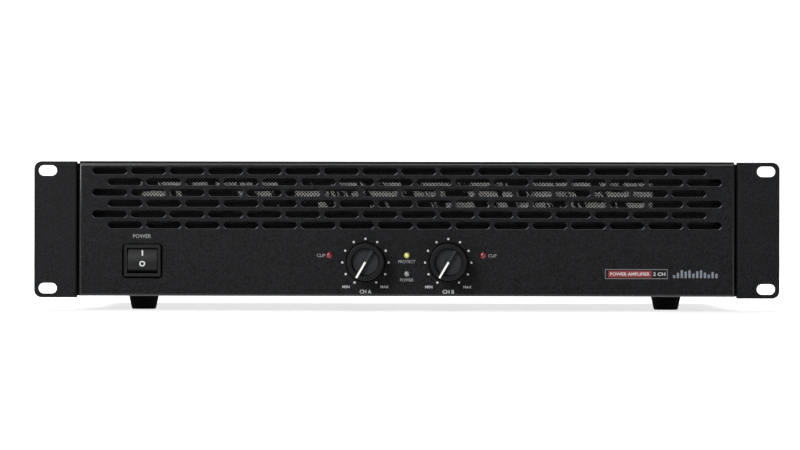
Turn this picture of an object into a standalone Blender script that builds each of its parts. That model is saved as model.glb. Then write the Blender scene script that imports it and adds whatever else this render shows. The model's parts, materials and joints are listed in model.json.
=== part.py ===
"""Stereo 2U rack power amplifier with level knobs, a rocker switch and a rear fan.

Metres, +Z up, front towards -Y, feet on z = 0, X and Y centred on the whole object.
Every object in the first collection is one separate piece of the real amplifier.
"""
import math

import bmesh
import bpy
from mathutils import Matrix, Vector

MM = 0.001
GAP = 0.3 * MM

# Rack standard and outside sizes
RACK_WIDTH = 482.6 * MM
RACK_HEIGHT = 88.1 * MM
RACK_HOLE_SPAN = 465.1 * MM
RACK_HOLE_RISE = 76.2 * MM
FOOT_HEIGHT = 8.7 * MM
CHASSIS_DEPTH = 280.0 * MM
KNOB_PROUD = 17.0 * MM
FUSE_CAP_PROUD = 9.0 * MM

# Folded sheet-metal case
PANEL_WIDTH = 424.9 * MM
PANEL_HEIGHT = 86.0 * MM
PANEL_BOTTOM = FOOT_HEIGHT + GAP
PANEL_SHEET = 1.5 * MM
PANEL_FOLD = 13.5 * MM
PANEL_BEND = 1.2 * MM
CASE_SHEET = 1.2 * MM
LID_SHEET = 1.0 * MM
LID_LIP = 12.0 * MM
CASE_HALF = 211.7 * MM
LID_HALF = 213.0 * MM

# Rack ears
EAR_INNER = 213.45 * MM
EAR_SHEET = 2.0 * MM
EAR_SETBACK = 0.5 * MM
EAR_FLANGE = 38.0 * MM
EAR_BEND = 1.8 * MM
EAR_CORNER = 4.8 * MM
EAR_SLOT = (12.0 * MM, 7.0 * MM)

# Front vents: rows of round-ended slots, every other row shifted sideways
SLOT_SIZE = (22.4 * MM, 4.7 * MM)
SLOT_PITCH = 25.0 * MM
SLOT_COUNT = 16
SLOT_ROWS = 6
ROW_PITCH = 7.0 * MM
TOP_ROW = 81.0 * MM
ROW_SHIFT = 10.0 * MM
SLOT_SIDES = 8

# Front controls: heights are above the front panel's lower edge
SWITCH_X = -171.2 * MM
SWITCH_Z = 22.9 * MM
BEZEL = (23.8 * MM, 20.7 * MM)
BEZEL_PROUD = 1.8 * MM
SWITCH_BODY = (22.2 * MM, 19.0 * MM)
SWITCH_DEPTH = 22.0 * MM
SWITCH_TAG = (0.8 * MM, 10 * MM, 6.3 * MM)
ROCKER_WIDTH = 19.2 * MM
ROCKER_RADIUS = 7.9 * MM
ROCKER_HALF = 5.5 * MM
ROCKER_BOW = 0.7 * MM
ROCKER_PIVOT = 5.0 * MM
ROCKER_TILT = math.radians(10)
KNOB_X = 26.8 * MM
KNOB_Z = 22.2 * MM
KNOB_REST = math.radians(-150)
KNOB_DISH = 12.8 * MM
LED_Z = 26.5 * MM
POWER_LED_Z = 14.6 * MM
CLIP_X = (-50.2 * MM, 49.3 * MM)
LED_RADIUS = 1.9 * MM
LED_RIM = 2.4 * MM
LED_HOLE = 2.2 * MM
SHAFT_RADIUS = 3.0 * MM
BUSHING_RADIUS = 4.5 * MM

# Feet: distance behind the face and half the distance between a row's two feet
FOOT_ROWS = (("front", 38.0 * MM, 171.0 * MM), ("rear", 242.0 * MM, 182.5 * MM))
FOOT_SHIFT = -1.2 * MM

# Inside
TOROID_X = -140.0 * MM
TOROID_DEPTH = 100.0 * MM
TOROID_RADIUS = 56.0 * MM
TOROID_HEIGHT = 46.0 * MM
CAPACITOR_RADIUS = 15.0 * MM
CAPACITOR_HEIGHT = 40.0 * MM
SINK_LENGTH = 150.0 * MM
SINK_HEIGHT = 74.0 * MM
SINK_BASE = 5.0 * MM
SINK_FIN = 30.0 * MM
SINK_FINS = 9
SINK_FRONT = 92.0 * MM
BOARD_SHEET = 1.6 * MM
BOARD_LIFT = 6.0 * MM

# Rear
FAN_X = 40.0 * MM
FAN_SIZE = 80.0 * MM
FAN_DEPTH = 25.0 * MM
FAN_BORE = 38.2 * MM
FAN_HOLES = 35.75 * MM
FAN_BLADES = 7
FAN_BLADE = (21.4 * MM, 20.0 * MM, 1.6 * MM)
REAR_Z = 41.7 * MM
INLET_X = -168.0 * MM
FUSE_X = -124.0 * MM
OUTPUT_X = (-86.0 * MM, -52.0 * MM)
INPUT_X = (118.0 * MM, 151.0 * MM)
MODE_X = 184.0 * MM
MODE_TRAVEL = 5.0 * MM

# Places worked out from the sizes above
FRONT_Y = KNOB_PROUD - (KNOB_PROUD + CHASSIS_DEPTH + FUSE_CAP_PROUD) / 2
REAR_Y = FRONT_Y + CHASSIS_DEPTH
PANEL_TOP = PANEL_BOTTOM + PANEL_HEIGHT
FLOOR_TOP = PANEL_BOTTOM + CASE_SHEET
FAN_Z = (FLOOR_TOP + PANEL_TOP) / 2 - PANEL_BOTTOM

FACE_FRONT = (math.radians(90), 0, 0)
FACE_REAR = (math.radians(90), 0, math.radians(180))
FACE_UP = (0, 0, 0)
SIDEWAYS = (math.radians(90), 0, math.radians(90))


# Scene, collections and materials

def clear_scene():
    for old in list(bpy.data.objects):
        bpy.data.objects.remove(old, do_unlink=True)


def new_collection(name):
    made = bpy.data.collections.new(name)
    bpy.context.scene.collection.children.link(made)
    return made


def new_material(name, colour, roughness, metallic=0.0):
    made = bpy.data.materials.new(name)
    made.use_nodes = True
    shader = made.node_tree.nodes["Principled BSDF"]
    shader.inputs["Base Color"].default_value = (*colour, 1)
    shader.inputs["Roughness"].default_value = roughness
    shader.inputs["Metallic"].default_value = metallic
    made.diffuse_color = (*colour, 1)
    return made


clear_scene()
PARTS = new_collection("power_amplifier")
CUTTERS = new_collection("cutters")

COAT = new_material("powder_coat", (0.016, 0.016, 0.018), 0.55)
GALVANISED = new_material("galvanised_steel", (0.45, 0.46, 0.47), 0.4, 1.0)
KNOB_PLASTIC = new_material("knob_plastic", (0.03, 0.03, 0.032), 0.45)
SWITCH_PLASTIC = new_material("switch_plastic", (0.02, 0.02, 0.021), 0.35)
RUBBER = new_material("foot_rubber", (0.01, 0.01, 0.01), 0.8)
STEEL = new_material("plated_steel", (0.55, 0.55, 0.56), 0.3, 1.0)
MESH_WIRE = new_material("screen_wire", (0.5, 0.5, 0.5), 0.4, 1.0)
RED_LENS = new_material("red_lens", (0.35, 0.02, 0.02), 0.2)
YELLOW_LENS = new_material("yellow_lens", (0.45, 0.42, 0.08), 0.2)
CLEAR_LENS = new_material("clear_lens", (0.5, 0.5, 0.5), 0.2)
BOARD = new_material("circuit_board", (0.02, 0.12, 0.05), 0.5)
WINDING = new_material("winding_tape", (0.5, 0.28, 0.05), 0.4)
ALUMINIUM = new_material("aluminium", (0.6, 0.6, 0.61), 0.35, 1.0)
SLEEVE = new_material("capacitor_sleeve", (0.02, 0.03, 0.09), 0.3)
MOULDED = new_material("black_moulding", (0.015, 0.015, 0.016), 0.45)
EPOXY = new_material("black_epoxy", (0.025, 0.025, 0.027), 0.4)
CABLE = new_material("cable_sleeve", (0.03, 0.03, 0.03), 0.6)


# Placing: depth is measured back from the front panel's face, height from its lower edge

def at_front(x, height, depth):
    return Vector((x, FRONT_Y + depth, PANEL_BOTTOM + height))


def at_rear(x, height, proud):
    return Vector((x, REAR_Y + proud, PANEL_BOTTOM + height))


def on_floor(x, depth, lift):
    return Vector((x, FRONT_Y + depth, FLOOR_TOP + lift))


# Shapes

def add_object(name, mesh, place, turn, material):
    made = bpy.data.objects.new(name, mesh)
    made.location = place
    made.rotation_euler = turn
    if material is None:
        CUTTERS.objects.link(made)
        made.hide_render = True
        made.display_type = "WIRE"
    else:
        mesh.materials.append(material)
        PARTS.objects.link(made)
    return made


def mesh_from(shape, name):
    mesh = bpy.data.meshes.new(name)
    shape.to_mesh(mesh)
    shape.free()
    return mesh


def block(name, size, place, material=None, turn=FACE_UP, bevel=0.0):
    shape = bmesh.new()
    bmesh.ops.create_cube(shape, size=1.0, matrix=Matrix.Diagonal((*size, 1)))
    made = add_object(name, mesh_from(shape, name), place, turn, material)
    if bevel:
        round_edges(made, bevel, 1)
    return made


def span(name, low, high, material=None, bevel=0.0):
    low = Vector(low)
    high = Vector(high)
    return block(name, high - low, (low + high) / 2, material, bevel=bevel)


def rod(name, radius, length, place, turn, material=None, sides=16):
    shape = bmesh.new()
    bmesh.ops.create_cone(shape, cap_ends=True, segments=sides, radius1=radius, radius2=radius, depth=length)
    made = add_object(name, mesh_from(shape, name), place, turn, material)
    shade_round(made)
    return made


def turned(name, profile, place, turn, material=None, steps=24):
    """Spin a loop of (radius, height) points about the local Z axis; a side that lies on the axis is left out."""
    mesh = bpy.data.meshes.new(name)
    sides = [(index, (index + 1) % len(profile)) for index in range(len(profile))]
    edges = [side for side in sides if max(profile[side[0]][0], profile[side[1]][0]) > 0]
    mesh.from_pydata([(radius, 0, height) for radius, height in profile], edges, [])
    made = add_object(name, mesh, place, turn, material)
    spin = made.modifiers.new("spin", "SCREW")
    spin.steps = steps
    spin.render_steps = steps
    spin.use_merge_vertices = True
    spin.merge_threshold = 0.00001
    return made


def arc(radius, height, bend, start, end, count=3):
    """Profile points round a corner of the given bend, centred on a radius and height; angles in degrees."""
    points = []
    for index in range(count):
        angle = math.radians(start + (end - start) * index / (count - 1))
        points.append((radius + bend * math.cos(angle), height + bend * math.sin(angle)))
    return points


def prism(name, outline, thickness, place, turn, material=None):
    """Extrude an outline of (x, y) points along the local Z axis, centred on it."""
    shape = bmesh.new()
    corners = [shape.verts.new((x, y, -thickness / 2)) for x, y in outline]
    face = shape.faces.new(corners)
    raised = bmesh.ops.extrude_face_region(shape, geom=[face])
    lifted = [item for item in raised["geom"] if isinstance(item, bmesh.types.BMVert)]
    bmesh.ops.translate(shape, verts=lifted, vec=(0, 0, thickness))
    bmesh.ops.recalc_face_normals(shape, faces=shape.faces)
    return add_object(name, mesh_from(shape, name), place, turn, material)


def slot_outline(length, height, sides=SLOT_SIDES):
    """A round-ended slot: a circle whose two halves are moved apart."""
    points = []
    for index in range(sides):
        angle = 2 * math.pi * (index + 0.5) / sides
        across = math.cos(angle) * height / 2
        points.append((across + math.copysign((length - height) / 2, across), math.sin(angle) * height / 2))
    return points


def round_edges(made, width, segments):
    bevel = made.modifiers.new("rounded", "BEVEL")
    bevel.width = width
    bevel.segments = segments
    bevel.limit_method = "ANGLE"
    bevel.angle_limit = math.radians(50)


def shade_round(made):
    made.data.shade_smooth()
    made.data.set_sharp_from_angle(angle=math.radians(35))


def cut(target, tool):
    boolean(target, tool, "DIFFERENCE")


def join(target, tool):
    boolean(target, tool, "UNION")


def boolean(target, tool, operation):
    step = target.modifiers.new(tool.name, "BOOLEAN")
    step.operation = operation
    step.solver = "EXACT"
    step.object = tool


def pivot(name, place, turn=FACE_UP):
    made = bpy.data.objects.new(name, None)
    made.location = place
    made.rotation_euler = turn
    PARTS.objects.link(made)
    return made


def hang(made, parent):
    """Parent a piece whose location is already given in its parent's own frame."""
    made.parent = parent


# The folded case

def tray(name, half_width, face_y, fold, outward, sheet):
    """A sheet panel whose four edges are folded back; outward is -1 at the front and 1 at the rear."""
    back_y = face_y - outward * fold
    low_y, high_y = sorted((face_y, back_y))
    made = span(name, (-half_width, low_y, PANEL_BOTTOM), (half_width, high_y, PANEL_TOP), COAT)
    round_edges(made, PANEL_BEND, 2)
    inside_face = face_y - outward * sheet
    low_y, high_y = sorted((inside_face, back_y - outward * fold))
    hollow = span(
        name + "_hollow",
        (-half_width + sheet, low_y, PANEL_BOTTOM + sheet),
        (half_width - sheet, high_y, PANEL_TOP - sheet),
    )
    cut(made, hollow)
    return made


def vent_cutter():
    shape = bmesh.new()
    for row in range(SLOT_ROWS):
        first = -SLOT_PITCH * (SLOT_COUNT - 1) / 2 + (ROW_SHIFT / 2 if row % 2 else -ROW_SHIFT / 2)
        height = TOP_ROW - row * ROW_PITCH
        for column in range(SLOT_COUNT):
            x = first + column * SLOT_PITCH
            corners = [shape.verts.new((x + across, up + height, 0)) for across, up in slot_outline(*SLOT_SIZE)]
            shape.faces.new(corners)
    raised = bmesh.ops.extrude_face_region(shape, geom=shape.faces[:])
    lifted = [item for item in raised["geom"] if isinstance(item, bmesh.types.BMVert)]
    bmesh.ops.translate(shape, verts=lifted, vec=(0, 0, 3 * PANEL_SHEET))
    bmesh.ops.recalc_face_normals(shape, faces=shape.faces)
    mesh = mesh_from(shape, "vent_cutter")
    return add_object("vent_cutter", mesh, at_front(0, 0, 2 * PANEL_SHEET), FACE_FRONT, None)


def front_panel():
    made = tray("front_panel", PANEL_WIDTH / 2, FRONT_Y, PANEL_FOLD, -1, PANEL_SHEET)
    cut(made, vent_cutter())
    window = (SWITCH_BODY[0] + 2 * GAP, 6 * PANEL_SHEET, SWITCH_BODY[1] + 2 * GAP)
    cut(made, block("switch_window", window, at_front(SWITCH_X, SWITCH_Z, 0)))
    for side in (-1, 1):
        hole = at_front(side * KNOB_X, KNOB_Z, 0)
        cut(made, rod(f"bushing_hole_{side}", BUSHING_RADIUS + GAP, 6 * PANEL_SHEET, hole, FACE_FRONT))
    for index, (x, height) in enumerate(led_places()):
        hole = at_front(x, height, 0)
        cut(made, rod(f"led_hole_{index}", LED_HOLE, 6 * PANEL_SHEET, hole, FACE_FRONT, sides=12))


def led_places():
    return ((CLIP_X[0], LED_Z), (CLIP_X[1], LED_Z), (0, LED_Z), (0, POWER_LED_Z))


def rear_panel():
    made = tray("rear_panel", CASE_HALF, REAR_Y, PANEL_FOLD - CASE_SHEET, 1, CASE_SHEET)
    through = 6 * PANEL_SHEET
    cut(made, block("inlet_window", (28 * MM, through, 21 * MM), at_rear(INLET_X, REAR_Z, 0)))
    cut(made, rod("fuse_hole", 6.5 * MM, through, at_rear(FUSE_X, REAR_Z, 0), FACE_REAR))
    cut(made, rod("fan_hole", FAN_BORE - 1 * MM, through, at_rear(FAN_X, FAN_Z, 0), FACE_REAR, sides=32))
    cut(made, block("mode_window", (11.6 * MM, through, 5.2 * MM), at_rear(MODE_X, REAR_Z, 0)))
    for index, x in enumerate(OUTPUT_X + INPUT_X):
        cut(made, rod(f"socket_hole_{index}", 12.1 * MM, through, at_rear(x, REAR_Z, 0), FACE_REAR, sides=20))
    for index, x in enumerate(INPUT_X):
        cut(made, block(f"tab_window_{index}", (12.8 * MM, through, 8 * MM), at_rear(x, REAR_Z + 10.8 * MM, 0)))


def case_panels():
    start = FRONT_Y + PANEL_FOLD + GAP
    end = REAR_Y - PANEL_FOLD + CASE_SHEET - GAP
    inner = CASE_HALF - CASE_SHEET
    floor = span(
        "chassis_floor",
        (-inner + GAP, start, PANEL_BOTTOM),
        (inner - GAP, end, FLOOR_TOP),
        COAT,
    )
    cut(floor, rod("bolt_hole", 4.4 * MM, 10 * MM, on_floor(TOROID_X, TOROID_DEPTH, 0), FACE_UP))
    for side, word in ((-1, "left"), (1, "right")):
        low, high = sorted((side * inner, side * CASE_HALF))
        span(f"side_panel_{word}", (low, start, PANEL_BOTTOM), (high, end, PANEL_TOP), COAT)
    lid = span(
        "top_cover",
        (-LID_HALF, start, PANEL_TOP + GAP - LID_LIP),
        (LID_HALF, REAR_Y, PANEL_TOP + GAP + LID_SHEET),
        COAT,
    )
    round_edges(lid, 0.6 * MM, 1)
    under = span(
        "lid_hollow",
        (-LID_HALF + LID_SHEET, start - LID_LIP, 0),
        (LID_HALF - LID_SHEET, REAR_Y + LID_LIP, PANEL_TOP + GAP),
    )
    cut(lid, under)
    nose = span(
        "lid_nose",
        (-PANEL_WIDTH / 2, FRONT_Y + 1.5 * MM, PANEL_TOP + GAP),
        (PANEL_WIDTH / 2, start + 10 * MM, PANEL_TOP + GAP + LID_SHEET - 0.05 * MM),
    )
    join(lid, nose)


def rack_ear(side, word):
    """An angle bracket: bend arc, face plate and side flange in plan, then corners and slots."""
    outline = [(RACK_WIDTH / 2, 0), (RACK_WIDTH / 2, EAR_SHEET), (EAR_INNER + EAR_SHEET, EAR_SHEET)]
    outline += [(EAR_INNER + EAR_SHEET, EAR_FLANGE), (EAR_INNER, EAR_FLANGE)]
    for index in range(5):
        angle = math.pi + index * math.pi / 8
        across = EAR_INNER + EAR_BEND + EAR_BEND * math.cos(angle)
        outline.append((across, EAR_BEND + EAR_BEND * math.sin(angle)))
    outline = [(side * x, y) for x, y in outline]
    bottom = PANEL_BOTTOM - (RACK_HEIGHT - PANEL_HEIGHT) / 2
    middle = bottom + RACK_HEIGHT / 2
    place = Vector((0, FRONT_Y + EAR_SETBACK, middle))
    made = prism(f"rack_ear_{word}", outline, RACK_HEIGHT, place, FACE_UP, COAT)
    shape = bmesh.new()
    shape.from_mesh(made.data)
    outer = [edge for edge in shape.edges if is_ear_corner(edge, side)]
    bmesh.ops.bevel(shape, geom=outer, offset=EAR_CORNER, segments=4, profile=0.5, affect="EDGES")
    shape.to_mesh(made.data)
    shape.free()
    for up in (-1, 1):
        hole = Vector((side * RACK_HOLE_SPAN / 2, FRONT_Y, middle + up * RACK_HOLE_RISE / 2))
        cut(made, prism(f"ear_slot_{word}_{up}", slot_outline(*EAR_SLOT, sides=12), 20 * MM, hole, FACE_FRONT))
        relief = Vector((side * EAR_INNER, FRONT_Y + EAR_SETBACK + EAR_SHEET + 25 * MM, middle))
        relief.z += up * (PANEL_HEIGHT / 2 + 5 * MM)
        cut(made, block(f"ear_relief_{word}_{up}", (10 * MM, 50 * MM, 10 * MM), relief))


def is_ear_corner(edge, side):
    """True for the two short edges through the face plate at its outer end."""
    first, second = (vert.co for vert in edge.verts)
    at_end = all(abs(point.x - side * RACK_WIDTH / 2) < GAP for point in (first, second))
    return at_end and abs(first.z - second.z) < GAP


def feet():
    profile = [(0, FOOT_HEIGHT), (9.8 * MM, FOOT_HEIGHT), (7.8 * MM, 0.6 * MM), (7.3 * MM, 0)]
    profile += [(3.5 * MM, 0), (3.5 * MM, 5 * MM), (0, 5 * MM)]
    for row, depth, half in FOOT_ROWS:
        for side, word in ((-1, "left"), (1, "right")):
            place = Vector((FOOT_SHIFT + side * half, FRONT_Y + depth, 0))
            turned(f"foot_{row}_{word}", profile, place, FACE_UP, RUBBER, steps=20)


def dust_screen():
    span(
        "dust_screen",
        at_front(-207 * MM, 42.5 * MM, 7.0 * MM),
        at_front(207 * MM, PANEL_HEIGHT - 2.5 * MM, 8.2 * MM),
        MESH_WIRE,
    )


# Front controls

def power_switch():
    face = FRONT_Y - BEZEL_PROUD
    centre = at_front(SWITCH_X, SWITCH_Z, 0)
    housing = span(
        "power_switch_housing",
        (centre.x - BEZEL[0] / 2, face, centre.z - BEZEL[1] / 2),
        (centre.x + BEZEL[0] / 2, FRONT_Y - GAP, centre.z + BEZEL[1] / 2),
        SWITCH_PLASTIC,
        bevel=0.6 * MM,
    )
    body = span(
        "switch_body",
        (centre.x - SWITCH_BODY[0] / 2, face + 1 * MM, centre.z - SWITCH_BODY[1] / 2),
        (centre.x + SWITCH_BODY[0] / 2, FRONT_Y + SWITCH_DEPTH, centre.z + SWITCH_BODY[1] / 2),
    )
    join(housing, body)
    for index in range(4):
        across = (index % 2 - 0.5) * 11 * MM
        up = (index // 2 - 0.5) * 9 * MM
        spot = centre + Vector((across, SWITCH_DEPTH + 3 * MM, up))
        join(housing, block(f"switch_tag_{index}", SWITCH_TAG, spot))
    well = span(
        "rocker_well",
        (centre.x - ROCKER_WIDTH / 2 - GAP, face - 5 * MM, centre.z - ROCKER_RADIUS - GAP),
        (centre.x + ROCKER_WIDTH / 2 + GAP, face + 12 * MM, centre.z + ROCKER_RADIUS + GAP),
    )
    cut(housing, well)
    axle = pivot("rocker_axle", (centre.x, face + ROCKER_PIVOT, centre.z), (-ROCKER_TILT, 0, 0))
    rocker = prism("power_switch_rocker", rocker_outline(), ROCKER_WIDTH, (0, 0, 0), SIDEWAYS, SWITCH_PLASTIC)
    hang(rocker, axle)


def rocker_outline():
    """Side view about the pivot: (towards the rear, up), a bowed face and ends round the pivot."""
    outline = []
    for share in (1, 0.5, 0, -0.5, -1):
        outline.append((-ROCKER_PIVOT - ROCKER_BOW * share ** 2, ROCKER_HALF * share))
    first = math.asin(ROCKER_HALF / ROCKER_RADIUS)
    ends = [first + math.radians(15 * index) for index in range(1, 6)]
    outline += [(-ROCKER_RADIUS * math.cos(angle), -ROCKER_RADIUS * math.sin(angle)) for angle in ends]
    outline += [(-ROCKER_RADIUS * math.cos(angle), ROCKER_RADIUS * math.sin(angle)) for angle in ends[::-1]]
    return outline


def level_control(side, letter):
    centre = at_front(side * KNOB_X, KNOB_Z, 0)
    axle = pivot(f"level_axle_{letter}", centre, FACE_FRONT)
    rim = KNOB_PROUD
    profile = [(0, KNOB_DISH), (8.8 * MM, KNOB_DISH), (9.1 * MM, rim), (11.8 * MM, rim)]
    profile += [(12.05 * MM, rim - GAP), (12.9 * MM, 0.8 * MM), (11.4 * MM, 0.8 * MM), (11.2 * MM, 4.5 * MM)]
    profile += [(SHAFT_RADIUS + GAP, 4.5 * MM), (SHAFT_RADIUS + GAP, 11 * MM), (0, 11 * MM)]
    knob = turned(f"knob_{letter}", profile, (0, 0, 0), FACE_UP, KNOB_PLASTIC, steps=28)
    shade_round(knob)
    hang(knob, axle)
    bar_size = (4 * MM, 18.4 * MM, 4.6 * MM)
    bar_place = (0, 0, rim - 0.7 * MM - bar_size[2] / 2)
    bar = block(f"knob_bar_{letter}", bar_size, bar_place, turn=(0, 0, -KNOB_REST))
    hang(bar, axle)
    join(knob, bar)
    shaft = rod(f"level_shaft_{letter}", SHAFT_RADIUS, 19 * MM, (0, 0, 1 * MM), FACE_UP, STEEL)
    hang(shaft, axle)
    profile = [(BUSHING_RADIUS, 4 * MM), (BUSHING_RADIUS, -1.9 * MM), (8.2 * MM, -1.9 * MM)]
    profile += [(8.2 * MM, -11.5 * MM), (0, -11.5 * MM), (0, -9.2 * MM)]
    profile += [(SHAFT_RADIUS + GAP, -9.2 * MM), (SHAFT_RADIUS + GAP, 4 * MM)]
    turned(f"level_pot_{letter}", profile, centre, FACE_FRONT, GALVANISED, steps=20)
    nut = rod(f"pot_nut_{letter}", 7.5 * MM, 2.4 * MM, centre + Vector((0, -1.5 * MM, 0)), FACE_FRONT, STEEL, 6)
    cut(nut, rod(f"nut_bore_{letter}", BUSHING_RADIUS + GAP, 8 * MM, centre, FACE_FRONT))


def indicator(name, x, height, lens):
    profile = [(0, 1.2 * MM), (1.0 * MM, 1.0 * MM), (1.6 * MM, 0.6 * MM), (LED_RADIUS, 0)]
    profile += [(LED_RADIUS, -2.6 * MM), (LED_RIM, -2.6 * MM), (LED_RIM, -3.6 * MM), (0, -3.6 * MM)]
    led = turned(name, profile, at_front(x, height, 0), FACE_FRONT, lens, steps=12)
    for side in (-1, 1):
        foot = at_front(x + side * 1.27 * MM, height, 8.2 * MM)
        join(led, block(f"{name}_lead_{side}", (0.5 * MM, 10 * MM, 0.5 * MM), foot))


def control_board():
    board = span("control_board", at_front(-72 * MM, 5 * MM, 13.8 * MM), at_front(72 * MM, 38 * MM, 15.4 * MM), BOARD)
    for index, side in enumerate((-1, 1)):
        header = span(
            f"board_header_{index}",
            at_front(side * 58 * MM - 8 * MM, 12 * MM, 15 * MM),
            at_front(side * 58 * MM + 8 * MM, 20 * MM, 24 * MM),
        )
        join(board, header)


# Power supply

def transformer():
    half = TOROID_HEIGHT / 2
    centre = on_floor(TOROID_X, TOROID_DEPTH, half + 0.8 * MM)
    outer, soft = TOROID_RADIUS - 10 * MM, 10 * MM
    inner, small = 25 * MM, 6 * MM
    profile = arc(outer, half - soft, soft, 90, 0) + arc(outer, soft - half, soft, 0, -90)
    profile += arc(inner, small - half, small, 270, 180) + arc(inner, half - small, small, 180, 90)
    core = turned("transformer", profile, centre, FACE_UP, WINDING, steps=28)
    shade_round(core)
    top = centre.z + half + GAP
    place = Vector((centre.x, centre.y, top))
    dish = [(4.4 * MM, -2.4 * MM), (11.6 * MM, -2.4 * MM), (25 * MM, 1.6 * MM), (34 * MM, 1.6 * MM)]
    dish += [(34 * MM, 0), (25.5 * MM, 0), (12 * MM, -4 * MM), (4.4 * MM, -4 * MM)]
    turned("transformer_clamp", dish, place, FACE_UP, GALVANISED)
    head = [(0, 3 * MM), (7 * MM, 3 * MM), (7 * MM, -2.1 * MM), (4 * MM, -2.1 * MM)]
    length = top - FLOOR_TOP + CASE_SHEET
    head += [(4 * MM, -length), (0, -length)]
    turned("transformer_bolt", head, place, FACE_UP, STEEL, steps=12)


def posts_under(board, name, corners):
    for index, (x, depth) in enumerate(corners):
        foot = on_floor(x, depth, GAP + BOARD_LIFT / 2)
        join(board, rod(f"{name}_post_{index}", 3 * MM, BOARD_LIFT, foot, FACE_UP, sides=8))


def board_on_posts(name, low_x, high_x, near, far):
    lift = BOARD_LIFT
    board = span(name, on_floor(low_x, near, lift), on_floor(high_x, far, lift + BOARD_SHEET), BOARD)
    inset = 5 * MM
    corners = [(x, depth) for x in (low_x + inset, high_x - inset) for depth in (near + inset, far - inset)]
    posts_under(board, name, corners)
    return board


def power_supply():
    board_on_posts("power_supply_board", -194 * MM, -114 * MM, 170 * MM, 244 * MM)
    lift = BOARD_LIFT + BOARD_SHEET + GAP
    number = 0
    for x in (-173 * MM, -135 * MM):
        for depth in (189 * MM, 225 * MM):
            number += 1
            radius, height = CAPACITOR_RADIUS, CAPACITOR_HEIGHT
            profile = [(0, height), (radius - 1.5 * MM, height), (radius, height - 1 * MM)]
            profile += [(radius, 4.6 * MM), (radius - 1 * MM, 3.8 * MM), (radius, 3 * MM), (radius, 0), (0, 0)]
            place = on_floor(x, depth, lift)
            shade_round(turned(f"filter_capacitor_{number}", profile, place, FACE_UP, SLEEVE, steps=20))
    rectifier = block("bridge_rectifier", (28.5 * MM, 28.5 * MM, 8 * MM), on_floor(-90 * MM, 205 * MM, 4.3 * MM), EPOXY)
    for index in range(4):
        x = -90 * MM + (index % 2 - 0.5) * 17 * MM
        depth = 205 * MM + (index // 2 - 0.5) * 17 * MM
        join(rectifier, block(f"rectifier_tag_{index}", (0.8 * MM, 6.3 * MM, 12 * MM), on_floor(x, depth, 12 * MM)))
    cut(rectifier, rod("rectifier_hole", 2.5 * MM, 30 * MM, on_floor(-90 * MM, 205 * MM, 4 * MM), FACE_UP, sides=12))


# Amplifier channels round the cooling tunnel

def heat_sink(side, letter):
    """A comb extruded along Y; side -1 is the tunnel's left wall, its fins point to the tunnel's middle."""
    outer = FAN_SIZE / 2 - 3 * MM
    base = -side * SINK_BASE
    fin = -side * (SINK_BASE + SINK_FIN)
    pitch = (SINK_HEIGHT - 2 * MM) / (SINK_FINS - 1)
    outline = [(0, -SINK_HEIGHT / 2)]
    for index in range(SINK_FINS):
        low = -SINK_HEIGHT / 2 + index * pitch
        outline += [(fin, low), (fin, low + 2 * MM)]
        if index < SINK_FINS - 1:
            outline += [(base, low + 2 * MM), (base, low + pitch)]
    outline.append((0, SINK_HEIGHT / 2))
    place = at_front(FAN_X + side * outer, FAN_Z, SINK_FRONT + SINK_LENGTH / 2)
    prism(f"heat_sink_{letter}", outline, SINK_LENGTH, place, FACE_FRONT, ALUMINIUM)
    for index in range(2):
        x = place.x + side * (2.5 * MM + GAP)
        depth = SINK_FRONT + (0.28 + 0.44 * index) * SINK_LENGTH
        package = at_front(x, FAN_Z - 6 * MM, depth)
        transistor = block(
            f"output_transistor_{letter}{index + 1}",
            (5 * MM, 15.6 * MM, 20 * MM),
            package,
            EPOXY,
            bevel=0.5 * MM,
        )
        hole = package + Vector((0, 0, 6 * MM))
        cut(transistor, rod(f"package_hole_{letter}{index}", 1.7 * MM, 12 * MM, hole, SIDEWAYS, sides=8))
        for leg in (-1, 0, 1):
            foot = package + Vector((0, leg * 5.4 * MM, -14 * MM))
            join(transistor, block(f"package_leg_{letter}{index}_{leg}", (0.7 * MM, 1.2 * MM, 10 * MM), foot))
    near, far = SINK_FRONT + 10 * MM, SINK_FRONT + SINK_LENGTH - 10 * MM
    edges = sorted((place.x + side * 2 * MM, place.x + side * 72 * MM))
    board = board_on_posts(f"amplifier_board_{letter}", edges[0], edges[1], near, far)
    for index in range(3):
        part = on_floor(place.x + side * (30 + 16 * index) * MM, near + (30 + 35 * index) * MM, 13 * MM)
        join(board, block(f"board_relay_{letter}{index}", (13 * MM, 18 * MM, 14 * MM), part))


# Rear

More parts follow.
